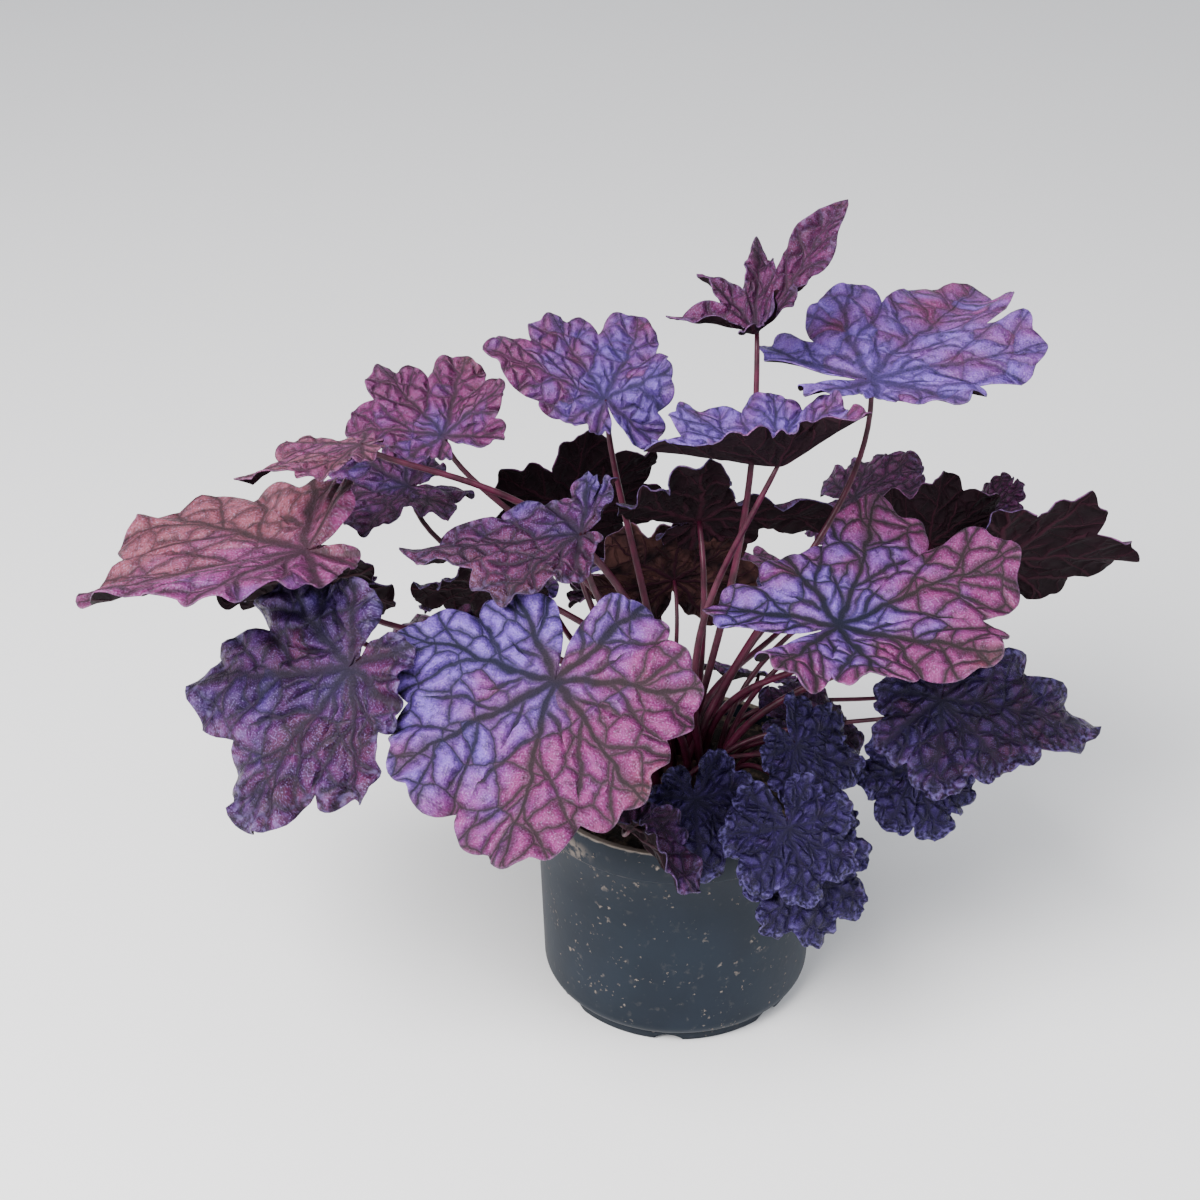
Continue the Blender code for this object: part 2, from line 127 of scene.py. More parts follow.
# How far from main veins, side veins and the hub the blade is fully swollen, as shares of the leaf
SWOLLEN_FROM_MAIN = 0.10
SWOLLEN_FROM_SIDE = 0.06
SWOLLEN_FROM_HUB = 0.25

# Stage: a light's place, its size and its colour
KEY_LIGHT = ((-0.75, -0.9, 1.35), 1.3, (1.0, 0.98, 0.97))
FILL_LIGHT = ((1.1, -0.5, 0.8), 1.2, (0.93, 0.95, 1.0))
LIGHTS_AIM = Vector((0, 0, 0.15))
SKY = (0.93, 0.95, 1.0)
GROUND_SIZE = 6
CAMERA_AT = (-0.034, -0.80, 0.645)
CAMERA_TILT = math.radians(60.3)
LENS = 67.08
SENSOR = 36

UPPER, UNDER, STALK = range(3)
CUPPED = (5, 5, 5, 5, 5, 5, 5)


@dataclass(frozen=True)
class Leaf:
    """One leaf: where its stalk meets the blade (mm), its length (mm), and its turns and bends (degrees).

    head is 0 towards -Y and 90 towards +X. pitch lowers the tip, and roll lowers the +X side of a leaf
    that faces -Y. reach and lift hold one value a lobe, from one side of the heart-shaped base round
    the tip to the other. cut is the depth between lobes, and blunt is 1 for pointed lobes and more for
    round ones. bow pushes the middle of the stalk aside (mm).
    """

    name: str
    at: tuple
    size: float
    head: float
    pitch: float
    roll: float
    droop: float = 8
    fold: float = 0
    ruffle: float = 14
    waves: int = 7
    phase: float = 0
    cut: float = 0.2
    blunt: float = 2.4
    bow: tuple = (0, 0, 0)
    reach: tuple = (1, 1, 1, 1, 1, 1, 1)
    lift: tuple = (0, 0, 0, 0, 0, 0, 0)


LEAVES = (
    Leaf("front", (-51, -80, 199), 76, -18, 38, 0, droop=10, fold=2, phase=0.5, cut=0.1,
         reach=(0.68, 0.95, 0.97, 1, 0.82, 0.84, 0.78), lift=(4, 4, 4, 4, 4, 4, 4)),
    Leaf("right", (59, -50, 206), 72, 110, -12, -14, fold=6, ruffle=16, phase=1,
         reach=(1, 0.7, 0.95, 1.1, 0.95, 0.62, 0.97), lift=(28, 15, 4, 4, 4, 4, 4)),
    Leaf("low_outer", (105, -31, 160), 42, -9, 40, 0, droop=15, waves=6,
         reach=(0.6, 0.75, 0.85, 1, 1, 2.05, 1.1), lift=(0, 0, 0, 0, -8, -24, -8)),
    Leaf("high_right", (75, 24, 277), 76, 97, -5, -20, droop=5, waves=5, cut=0.3, bow=(12, -13, 0),
         reach=(0.75, 0.2, 0.65, 0.95, 1.38, 0.8, 0.85), lift=(32, 22, 20, 8, -10, 0, 0)),
    Leaf("top", (28, 20, 300), 50, 130, 0, 0, droop=0, ruffle=24, cut=0.5, blunt=1.1,
         bow=(8, -20, 0), reach=(0.6, 0.55, 0.5, 1.3, 0.85, 0.8, 0.95),
         lift=(20, 60, 50, 46, 45, 34, 17)),
    Leaf("mid_top", (34, -32, 266), 50, -85, 0, 0, droop=0, ruffle=12, bow=(-17, 2, 0),
         reach=(1, 0.8, 1.05, 1.05, 0.85, 0.75, 1.25), lift=(30, 25, 10, 12, 42, 55, 45)),
    Leaf("upper", (-32, 20, 270), 48, -148, -28, 12, droop=5, ruffle=12, phase=0.5,
         reach=(0.8, 0.7, 0.97, 1, 1.15, 0.45, 0.4), lift=(-36, 20, 0, 0, 22, 0, -15)),
    Leaf("upper_left", (-97, 10, 259), 46, -140, -22, 12, droop=5, waves=6, bow=(0, 0, 16),
         reach=(0.75, 0.8, 0.9, 1, 0.9, 0.45, 0.35), lift=(25, 35, 5, 0, 0, 0, 0)),
    Leaf("left_lobe", (-126, -22, 270), 46, -80, 8, -10, droop=10, waves=6, bow=(0, 16, 46),
         reach=(0.3, 0.45, 0.9, 1.1, 0.6, 0.4, 0.3)),
    Leaf("left", (-149, -30, 228), 95, -82, 0, 0, droop=15, ruffle=10, waves=6, cut=0.1,
         reach=(0.45, 0.5, 1.05, 0.97, 0.72, 0.36, 0.32), lift=(55, 20, -5, -3, 18, 12, 5)),
    Leaf("low_left", (-131, -64, 195), 76, -68, 50, 25, droop=15,
         reach=(0.6, 0.75, 1.05, 1.07, 0.72, 0.42, 0.5), lift=CUPPED),
    Leaf("far_right", (138, 40, 186), 60, 97, 0, 70, droop=5, waves=6,
         reach=(0.5, 0.6, 0.85, 1, 0.55, 0.4, 0.5)),
    Leaf("back_right", (108, 50, 188), 38, 10, -80, 0, droop=0, ruffle=18, bow=(0, 6, 12)),
    Leaf("umbrella", (7, 22, 214), 60, 102, 0, 60, droop=10, ruffle=10, waves=6,
         reach=(1, 0.9, 0.35, 1.1, 0.3, 0.35, 0.4)),
    Leaf("mid_left", (-42, -28, 234), 58, -95, 0, 0, droop=5, waves=6,
         reach=(0.6, 0.5, 0.4, 1.25, 0.8, 0.45, 0.2), lift=(60, 50, 12, -8, -12, -20, 0)),
    Leaf("back_left", (-116, 58, 212), 48, -70, 0, 10, droop=15, fold=20, waves=6,
         reach=(0.6, 0.5, 0.8, 1, 0.9, 0.9, 0.8), lift=CUPPED),
    Leaf("mid_back", (-46, 75, 190), 48, 20, -70, 0, droop=0, waves=6, phase=1, bow=(-16, 6, 4)),
    Leaf("left_under", (-148, 6, 194), 50, -90, 0, -50, droop=15, waves=6,
         reach=(0.9, 0.9, 1, 1, 0.9, 0.8, 0.7), lift=CUPPED),
    Leaf("low_mid", (4, -61, 132), 35, 10, 60, 0, droop=15, ruffle=15,
         reach=(0.6, 0.62, 0.8, 1, 1, 0.85, 0.85), lift=CUPPED),
    Leaf("low_inner", (46, -38, 142), 33, 40, 40, 0, droop=15, ruffle=15, phase=1, bow=(2, 3, 0),
         reach=(0.55, 0.65, 0.85, 1, 1, 1, 1), lift=CUPPED),
    Leaf("low_curl", (41, -73, 126), 33, 20, 45, 0, droop=15, ruffle=15, phase=2, lift=CUPPED),
    Leaf("low_rim", (49, -75, 107), 33, 25, 65, 0, droop=15, ruffle=15, phase=3, bow=(0, -2, 10),
         lift=CUPPED),
    Leaf("low_fold", (-22, -77, 128), 38, 72, 36, 0, droop=15, fold=65, ruffle=10, waves=6,
         reach=(0.4, 0.4, 0.6, 1, 0.6, 0.4, 0.4), lift=CUPPED),
    Leaf("low_right", (98, -22, 120), 32, 30, 50, 0, droop=15, ruffle=15, lift=CUPPED),
    Leaf("low_small", (61, -41, 110), 16, 50, 40, 0, droop=15, ruffle=15, bow=(0, 0, 12), lift=CUPPED),
    Leaf("under_right", (52, 2, 126), 30, 95, 20, -10, droop=15, fold=10, waves=6, lift=CUPPED),
    Leaf("back_top", (80, 90, 190), 36, 60, -20, -20, droop=15, waves=6, phase=1, bow=(0, 0, 14),
         lift=CUPPED),
    Leaf("back_tip", (138, 78, 190), 20, 80, -45, -20, droop=15, waves=6, phase=1, bow=(0, 26, 10),
         lift=CUPPED),
    Leaf("rear_left", (-60, 95, 150), 56, -150, 20, 0, droop=15, waves=6, bow=(-3, 5, -5), lift=CUPPED),
    Leaf("rear_mid", (-8, 112, 132), 48, 188, 25, 0, droop=15, waves=6, phase=1, lift=CUPPED),
    Leaf("rear_right", (62, 95, 145), 52, 145, 20, 0, droop=15, waves=6, phase=1, lift=CUPPED),
    Leaf("rear_inner", (-2, 43, 174), 42, 8, -72, 0, droop=0, ruffle=22),
    Leaf("rear_far_left", (-110, 52, 138), 44, -115, 25, 0, droop=15, waves=6, lift=CUPPED),
    Leaf("rear_far_right", (122, 40, 132), 44, 95, 30, 0, droop=15, waves=6, lift=CUPPED),
    Leaf("rear_low_right", (38, 62, 115), 34, 160, 35, 0, droop=15, waves=6, phase=1, lift=CUPPED),
    Leaf("rear_low_left", (-35, 60, 112), 34, -150, 35, 0, droop=15, waves=6, lift=CUPPED),
    Leaf("under_left", (-78, 18, 186), 42, -80, 0, -45, droop=15, waves=6, phase=1,
         reach=(0.9, 0.9, 1, 0.85, 0.8, 0.6, 0.6), lift=CUPPED),
)

@dataclass(frozen=True)
class Look:
    """Tint at the leaf's middle (0 lavender, 1 pink, 2 rose brown) and how it changes across, along and
    outwards, how dark the leaf is, and how bold its net of small veins is."""

    middle: float
    across: float
    lengthwise: float
    outwards: float
    gloom: float
    bold: float


# Pale flecks of the darkest leaves, and the painted highlight on their curled margins
NIGHT_FLECK_AND_HIGHLIGHT = (0.16, 0.13, 0.42)

LOOKS = {
    "front": Look(0.6, 0.85, 0.6, 0.0, 0.0, 0.9),
    "right": Look(0.25, -0.35, 0.25, 0.9, 0.0, 1.0),
    "left": Look(1.4, -1.3, 0.1, 0.1, 0.0, 0.5),
    "low_left": Look(0.7, 0.4, 0.1, 0.2, 0.6, 0.8),
    "upper_left": Look(0.6, -0.3, 0.1, 0.8, 0.18, 0.5),
    "left_lobe": Look(1.5, 0.1, 0.1, 0.2, 0.1, 0.4),
    "upper": Look(0.3, 0.3, 0.1, 0.5, 0.15, 0.4),
    "top": Look(1.0, 0.1, 0.1, 0.3, 0.4, 0.4),
    "high_right": Look(0.25, 0.1, 0.15, 0.3, 0.0, 0.35),
    "mid_top": Look(0.25, 0.2, -0.3, 0.4, 0.05, 0.4),
    "mid_left": Look(0.8, 1.1, 0.3, 0.3, 0.5, 0.7),
    "low_outer": Look(0.5, 0.1, 0.2, 0.2, 0.8, 0.8),
    "low_mid": Look(0.1, 0.0, 0.0, 0.1, 0.85, 0.6),
    "low_inner": Look(0.1, 0.0, 0.0, 0.1, 0.88, 0.6),
    "low_curl": Look(0.1, 0.0, 0.0, 0.1, 0.86, 0.6),
    "low_rim": Look(0.1, 0.0, 0.0, 0.1, 0.86, 0.6),
    "low_fold": Look(0.8, 0.0, 0.0, 0.2, 0.6, 0.6),
    "low_right": Look(0.1, 0.0, 0.0, 0.1, 0.86, 0.6),
    "low_small": Look(0.1, 0.0, 0.0, 0.1, 0.88, 0.6),
    "back_left": Look(0.7, 0.2, 0.0, 0.4, 0.45, 0.5),
    "rear_inner": Look(2.6, 0.0, 0.0, 0.2, 0.35, 0.6),
    "umbrella": Look(1.2, 0.1, 0.1, 0.2, 0.7, 0.6),
    "under_left": Look(1.2, 0.1, 0.1, 0.2, 0.7, 0.6),
    "left_under": Look(1.0, 0.1, 0.1, 0.2, 0.5, 0.6),
    "under_right": Look(1.0, 0.1, 0.1, 0.2, 0.7, 0.6),
    "back_top": Look(1.0, 0.1, 0.1, 0.2, 0.5, 0.6),
    "back_tip": Look(1.0, 0.1, 0.1, 0.2, 0.4, 0.6),
}
OTHER_LOOK = Look(0.65, 0.1, 0.3, 0.3, 0.22, 0.7)

FRONT_LEAVES = (
    "front", "right", "left", "low_left", "upper_left", "left_lobe", "upper", "top", "high_right",
    "mid_top", "mid_left", "low_outer",
)
LOW_LEAVES = ("low_mid", "low_inner", "low_curl", "low_rim", "low_fold", "low_right", "low_small")
BACK_LEAVES = tuple(leaf.name for leaf in LEAVES if leaf.name not in FRONT_LEAVES + LOW_LEAVES)


def tone(name, description, value):
    """A colour that a user can change."""
    return bpy.props.FloatVectorProperty(name=name, description=description, subtype="COLOR", default=value)


class LeafSettings(bpy.types.PropertyGroup):
    lavender: tone("Lavender", "Upper face where it is bluest", (0.150, 0.078, 0.420))
    pink: tone("Pink", "Upper face where it is pink", (0.190, 0.028, 0.130))
    rose: tone("Rose brown", "Upper face where it has browned", (0.205, 0.052, 0.080))
    vein: tone("Vein", "Veins on the upper face", (0.005, 0.006, 0.015))
    aged_vein: tone("Aged vein", "Veins where the leaf has browned", (0.018, 0.012, 0.014))
    # Also mixed into the painted highlight on the curled margins of the dark leaves
    pale: tone("Fleck", "Pale hairs and flecks", (0.48, 0.33, 0.60))
    night: tone("Night", "Upper face of the dark low leaves", (0.010, 0.005, 0.040))
    dusk: tone("Dusk", "Upper face of the dark leaves in the middle", (0.026, 0.006, 0.010))
    under: tone("Underside", "Lower face", (0.005, 0.0014, 0.003))
    under_vein: tone("Underside vein", "Raised veins of the lower face", (0.022, 0.004, 0.010))
    withered: tone("Withered", "Lower face where the leaf has dried", (0.060, 0.024, 0.022))
    stalk: tone("Stalk", "Stalks", (0.070, 0.007, 0.026))
    thickness: bpy.props.FloatProperty(
        name="Thickness", description="Thickness of a blade", default=0.0006, unit="LENGTH"
    )
    pucker: bpy.props.FloatProperty(
        name="Pucker", description="Height of the swellings, as a share of the leaf", default=0.016
    )
    frill: bpy.props.FloatProperty(
        name="Frill", description="Extra waving of the edge", default=math.radians(9), subtype="ANGLE"
    )


class PotSettings(bpy.types.PropertyGroup):
    plastic: tone("Plastic", "Pot", (0.0085, 0.0130, 0.0205))
    dust: tone("Dust", "Dry soil marks on the pot", (0.30, 0.25, 0.21))
    steps: bpy.props.IntProperty(name="Steps", description="Sides of the pot's round wall", default=192)


class SoilSettings(bpy.types.PropertyGroup):
    dark: tone("Damp soil", "Soil between the lumps", (0.012, 0.008, 0.007))
    pale: tone("Dry soil", "Lumps and crust", (0.16, 0.115, 0.085))
    crumbs: bpy.props.IntProperty(name="Crumbs", description="Lumps on soil and rim", default=260)


class StageSettings(bpy.types.PropertyGroup):
    floor: tone("Floor", "Studio floor", (0.96, 0.96, 0.965))
    key: bpy.props.FloatProperty(
        name="Key light", description="Large light at the upper left", default=78, unit="POWER"
    )
    fill: bpy.props.FloatProperty(
        name="Fill light", description="Large light at the right", default=9, unit="POWER"
    )
    sky: bpy.props.FloatProperty(name="Surroundings", description="Light from all round", default=0.66)


class Wiring:
    """Short calls that add nodes to one material or group and join them."""

    def __init__(self, tree):
        self.tree = tree

    def add(self, kind, inputs=(), **settings):
        made = self.tree.nodes.new("ShaderNode" + kind)
        for key, value in settings.items():
            setattr(made, key, value)
        for place, value in dict(inputs).items():
            self.put(made.inputs[place], value)
        return made

    def put(self, socket, value):
        if isinstance(value, bpy.types.NodeSocket):
            self.tree.links.new(value, socket)
        elif isinstance(value, tuple) and len(value) == 3 and socket.type == "RGBA":
            socket.default_value = (*value, 1)
        else:
            socket.default_value = value

    def math(self, operation, first, second=0.0):
        return self.add("Math", {0: first, 1: second}, operation=operation).outputs[0]

    def times(self, first, second):
        return self.math("MULTIPLY", first, second)

    def most(self, first, *others):
        for other in others:
            first = self.math("MAXIMUM", first, other)
        return first

    def vector(self, operation, *values):
        return self.add("VectorMath", dict(enumerate(values)), operation=operation).outputs[0]

    def length(self, vector):
        return self.add("VectorMath", {0: vector}, operation="LENGTH").outputs["Value"]

    def clamp_mix(self, factor, first, second):
        return self.add("Mix", {0: factor, 6: first, 7: second}, data_type="RGBA").outputs[2]

    def step(self, value, start, end, low=0.0, high=1.0):
        """A smooth change from low to high while the value goes from start to end."""
        ends = {0: value, 1: start, 2: end, 3: low, 4: high}
        return self.add("MapRange", ends, interpolation_type="SMOOTHSTEP").outputs[0]

    def noise(self, vector, scale, detail=2.0):
        return self.add("TexNoise", {"Vector": vector, "Scale": scale, "Detail": detail}).outputs[0]

    def ragged(self, place, scale, reach):
        """The place pushed about by noise, up to half the reach each way."""
        push = self.add("TexNoise", {"Vector": place, "Scale": scale, "Detail": 3.0}).outputs["Color"]
        push = self.vector("SUBTRACT", push, (0.5, 0.5, 0.5))
        return self.vector("MULTIPLY_ADD", push, reach, place)

    def attribute(self, name):
        return self.add("Attribute", attribute_name=name).outputs["Fac"]


def colour(value, share=1.0):
    """A colour as a tuple, darkened or lightened by a share."""
    return tuple(share * part for part in value)


def vein_group():
    """Masks of the main, side and net veins and of the swelling between them, on the flat leaf."""
    group = bpy.data.node_groups.new("leaf veins", "ShaderNodeTree")
    group.interface.new_socket("Place", in_out="INPUT", socket_type="NodeSocketVector")
    for name in ("Main", "Side", "Net", "Cell", "Swell"):
        group.interface.new_socket(name, in_out="OUTPUT", socket_type="NodeSocketFloat")
    w = Wiring(group)
    place = w.ragged(group.nodes.new("NodeGroupInput").outputs[0], 8.0, (0.07, 0.07, 0))
    parts = w.add("SeparateXYZ", {0: place})
    radius = w.length(place)
    turn = w.math("ARCTAN2", parts.outputs[0], parts.outputs[1])

    # Main veins: one to each lobe, measured along it and aside from it
    lobe = w.math("ROUND", w.math("DIVIDE", turn, LOBE_STEP))
    lobe = w.math("MINIMUM", w.math("MAXIMUM", lobe, -LOBES_EACH_SIDE), LOBES_EACH_SIDE)
    off = w.math("SUBTRACT", turn, w.times(lobe, LOBE_STEP))
    forward = w.times(radius, w.math("COSINE", off))
    aside = w.times(radius, w.math("SINE", off))
    apart = w.math("ABSOLUTE", aside)
    wide = w.step(radius, 0.0, 1.0, *MAIN_VEIN_WIDTH)
    main = w.step(w.math("DIVIDE", apart, wide), 0.4, 1.4, 1.0, 0.0)

    # Side veins: a herringbone that leans outwards, out of step on the two sides
    count = w.math("DIVIDE", w.math("SUBTRACT", forward, w.times(apart, SIDE_VEIN_LEAN)), SIDE_VEIN_STEP)
    count = w.math("ADD", count, w.times(w.math("GREATER_THAN", aside, 0.0), 0.5))
    gap = w.math("ABSOLUTE", w.math("SUBTRACT", count, w.math("ROUND", count)))
    gap = w.times(gap, SIDE_VEIN_STEP / math.hypot(1, SIDE_VEIN_LEAN))
    wide = w.step(radius, 0.1, 1.0, *SIDE_VEIN_WIDTH)
    side = w.step(w.math("DIVIDE", gap, wide), 0.4, 1.2, 1.0, 0.0)
    side = w.times(side, w.step(radius, 0.08, 0.2))

    # Net veins: the edges of irregular cells
    cells = {"Vector": place, "Scale": NET_SCALE, "Randomness": 1.0}
    edge = w.add("TexVoronoi", cells, feature="DISTANCE_TO_EDGE", voronoi_dimensions="2D").outputs[0]
    hue = w.add("TexVoronoi", cells, feature="F1", voronoi_dimensions="2D").outputs["Color"]
    cell = w.add("SeparateColor", {0: hue}).outputs[0]
    net = w.times(w.step(edge, 0.008, 0.052, 1.0, 0.0), w.step(radius, 0.1, 0.3))

    swell = w.math("SMOOTH_MIN", w.math("DIVIDE", apart, 0.09), w.math("DIVIDE", gap, 0.05))
    swell = w.math("MINIMUM", swell, w.math("DIVIDE", edge, 0.26))
    leave = group.nodes.new("NodeGroupOutput")
    for socket, value in zip(leave.inputs, (main, side, net, cell, w.step(swell, 0.0, 1.0))):
        group.links.new(value, socket)
    return group


def principled(name):
    made = bpy.data.materials.new(name)
    made.use_nodes = True
    wiring = Wiring(made.node_tree)
    return made, wiring, made.node_tree.nodes["Principled BSDF"]


def bump(w, height, distance):
    return w.add("Bump", {"Height": height, "Distance": distance, "Strength": 1.0}).outputs[0]


def leaf_pattern(w, veins):
    """The place on the flat leaf and the vein masks there."""
    place = w.add("UVMap", uv_map="flat").outputs[0]
    group = w.add("Group", node_tree=veins)
    w.put(group.inputs[0], place)
    return place, group.outputs[:5]


def upper_material(settings, veins):
    """Upper face: tinted cells between dark sunken veins with painted shade in the hollows beside them,
    darker and crinkled in the low bunch, with a painted highlight on the curled margins of the dark leaves.
    """
    made, w, shader = principled("leaf upper face")
    place, (main, side, net, cell, swell) = leaf_pattern(w, veins)
    gloom, bold, run = w.attribute("gloom"), w.attribute("bold"), w.attribute("run")
    patches = w.times(w.math("SUBTRACT", w.noise(place, 3.2, 3.0), 0.5), 1.7)
    tint = w.math("ADD", w.attribute("tint"), patches)
    tint = w.math("ADD", tint, w.times(w.math("SUBTRACT", cell, 0.5), 0.4))
    pinkness = w.step(tint, 0.15, 1.05)

    # Flesh and vein colours
    flesh = w.clamp_mix(pinkness, colour(settings.lavender), colour(settings.pink))
    flesh = w.clamp_mix(w.step(tint, 1.15, 2.0), flesh, colour(settings.rose))
    shade = w.clamp_mix(w.step(tint, 0.3, 1.4), colour(settings.night), colour(settings.dusk))
    flesh = w.clamp_mix(gloom, flesh, shade)
    dark = w.clamp_mix(pinkness, colour(settings.vein), colour(settings.aged_vein))
    dark = w.clamp_mix(gloom, dark, colour(settings.night, 0.3))

    # Grain, mottling and pale flecks
    flecks = w.noise(place, 105.0, 3.0)
    grain = w.noise(place, 22.0, 4.0)
    flesh = w.clamp_mix(w.step(grain, 0.55, 0.30, 0.0, 0.6), flesh, dark)
    mottle = w.step(w.noise(place, 5.0, 4.0), 0.60, 0.42, 0.0, 0.85)
    flesh = w.clamp_mix(w.times(gloom, mottle), flesh, dark)
    pale = w.clamp_mix(gloom, w.clamp_mix(0.5, colour(settings.pale), flesh), NIGHT_FLECK_AND_HIGHLIGHT)
    flesh = w.clamp_mix(w.step(flecks, 0.50, 0.70, 0.0, 0.55), flesh, pale)
    flesh = w.clamp_mix(w.step(flecks, 0.46, 0.28, 0.0, 0.5), flesh, dark)

    # Veins, with painted shade in the sunken hollows along them
    painted_hollow_shade = w.clamp_mix(w.math("ADD", 0.25, w.times(bold, 0.5)), flesh, dark)
    skin = w.clamp_mix(w.step(swell, 0.0, 0.7), painted_hollow_shade, flesh)
    main = w.times(main, w.math("ADD", 0.5, w.times(bold, 0.5)))
    side = w.times(side, w.math("ADD", 0.5, w.times(bold, 0.4)))
    net = w.times(net, w.math("ADD", 0.2, w.times(bold, 0.7)))
    lines = w.times(w.most(main, side, net), w.step(gloom, 0.3, 1.0, 0.96, 0.5))
    skin = w.clamp_mix(lines, skin, dark)

    # Pale rim of fine hairs, widened by a painted highlight on the curled margins of the dark leaves
    painted_curl_highlight = w.times(w.times(gloom, w.step(run, 0.80, 0.98)), w.step(grain, 0.45, 0.65, 0.0, 0.6))
    skin = w.clamp_mix(w.most(painted_curl_highlight, w.step(run, 0.985, 1.0, 0.0, 0.15)), skin, pale)
    w.put(shader.inputs["Base Color"], skin)
    rough = w.most(w.step(flecks, 0.3, 0.75, 0.50, 0.32), w.times(lines, 0.9))
    w.put(shader.inputs["Roughness"], rough)
    shader.inputs["Specular IOR Level"].default_value = 0.2
    height = w.math("ADD", swell, w.times(w.math("ADD", flecks, grain), 0.35))
    w.put(shader.inputs["Normal"], bump(w, height, 0.0018))
    return made


def under_material(settings, veins):
    """Lower face: burgundy, nearly black, with raised veins, and brown where the leaf has dried."""
    made, w, shader = principled("leaf lower face")
    place, (main, side, net, _, swell) = leaf_pattern(w, veins)
    patches = w.noise(place, 4.0, 4.0)
    skin = w.clamp_mix(w.step(patches, 0.3, 0.75), colour(settings.under), colour(settings.under, 2.2))
    withered = w.times(w.step(w.attribute("tint"), 2.0, 2.5), w.step(patches, 0.35, 0.65))
    skin = w.clamp_mix(withered, skin, colour(settings.withered))
    lines = w.most(main, w.times(side, 0.7), w.times(net, 0.35))
    w.put(shader.inputs["Base Color"], w.clamp_mix(lines, skin, colour(settings.under_vein)))
    w.put(shader.inputs["Roughness"], w.step(patches, 0.3, 0.7, 0.7, 0.85))
    shader.inputs["Specular IOR Level"].default_value = 0.12
    w.put(shader.inputs["Normal"], bump(w, w.math("SUBTRACT", lines, swell), 0.0008))
    return made


def stalk_material(settings):
    made, w, shader = principled("leaf stalk")
    streaks = w.noise(w.add("TexCoord").outputs["Object"], 160.0, 3.0)
    skin = w.clamp_mix(w.step(streaks, 0.3, 0.75), colour(settings.stalk), colour(settings.stalk, 0.35))
    w.put(shader.inputs["Base Color"], skin)
    w.put(shader.inputs["Roughness"], w.step(streaks, 0.3, 0.8, 0.35, 0.55))
    shader.inputs["Specular IOR Level"].default_value = 0.3
    w.put(shader.inputs["Normal"], bump(w, streaks, 0.0003))
    return made


def leaf_materials(settings):
    """The three leaf materials, made once."""
    names = ("leaf upper face", "leaf lower face", "leaf stalk")
    if names[0] not in bpy.data.materials:
        veins = vein_group()
        upper_material(settings, veins)
        under_material(settings, veins)
        stalk_material(settings)
    return [bpy.data.materials[name] for name in names]


def smooth(share):
    """A smooth change from 0 to 1 while the share goes from 0 to 1."""
    share = np.clip(share, 0, 1)
    return share * share * (3 - 2 * share)


def outline(theta, cut, blunt):
    """Share of the leaf's length that its edge reaches at each angle from the tip lobe."""
    lobe = np.clip(np.round(theta / LOBE_STEP), -LOBES_EACH_SIDE, LOBES_EACH_SIDE)
    across = theta / LOBE_STEP - lobe
    width = 1 - SIDE_NARROWING * (theta / (LOBES_EACH_SIDE * LOBE_STEP)) ** 2
    lobed = 1 - cut * np.minimum(1, 2 * np.abs(across)) ** blunt
    teeth = TEETH_PER_LOBE * across
    toothed = 1 - TOOTH_DEPTH * (2 * np.abs(teeth - np.round(teeth))) ** 1.6
    notch = smooth((np.abs(theta) - BASE_NOTCH_FROM) / (math.pi - BASE_NOTCH_FROM))
    return width * lobed * toothed * (1 - BASE_NOTCH_DEPTH * notch)


def along(values, theta):
    """A smooth run through the values of the lobes, which meet where the leaf's base closes."""
    values = np.array(values, float)
    place = np.clip(theta / LOBE_STEP, -LOBES_EACH_SIDE, LOBES_EACH_SIDE) + LOBES_EACH_SIDE
    lobe = np.minimum(place.astype(int), 2 * LOBES_EACH_SIDE - 1)
    share = smooth(place - lobe)
    run = values[lobe] * (1 - share) + values[lobe + 1] * share
    seam = smooth((np.abs(theta) - SEAM_FROM) / (math.pi - SEAM_FROM))
    return run * (1 - seam) + (values[0] + values[-1]) / 2 * seam


def look(leaf):
    return LOOKS.get(leaf.name, OTHER_LOOK)


def leaf_axes(leaf):
    """The leaf's own directions: towards its tip, towards its side and up out of its upper face."""
    head, pitch, roll = (math.radians(turn) for turn in (leaf.head, leaf.pitch, leaf.roll))
    level = Vector((math.sin(head), -math.cos(head), 0))
    tip = level * math.cos(pitch) - Vector((0, 0, 1)) * math.sin(pitch)
    side = Vector((math.cos(head), math.sin(head), 0))
    up = tip.cross(side)
    return tip, side * math.cos(roll) - up * math.sin(roll), up * math.cos(roll) + side * math.sin(roll)


def swelling(flat_x, flat_y):
    """How far the leaf swells between its main and side veins, 0 on a vein and 1 well away from it."""
    radius = np.hypot(flat_x, flat_y)
    turn = np.arctan2(flat_x, flat_y)
    lobe = np.clip(np.round(turn / LOBE_STEP), -LOBES_EACH_SIDE, LOBES_EACH_SIDE)
    off = turn - lobe * LOBE_STEP
    forward, aside = radius * np.cos(off), radius * np.sin(off)
    count = (forward - np.abs(aside) * SIDE_VEIN_LEAN) / SIDE_VEIN_STEP + 0.5 * (aside > 0)
    gap = np.abs(count - np.round(count)) * SIDE_VEIN_STEP / math.hypot(1, SIDE_VEIN_LEAN)
    near = np.minimum(np.abs(aside) / SWOLLEN_FROM_MAIN, gap / SWOLLEN_FROM_SIDE)
    return smooth(near) * np.clip(radius / SWOLLEN_FROM_HUB, 0, 1)


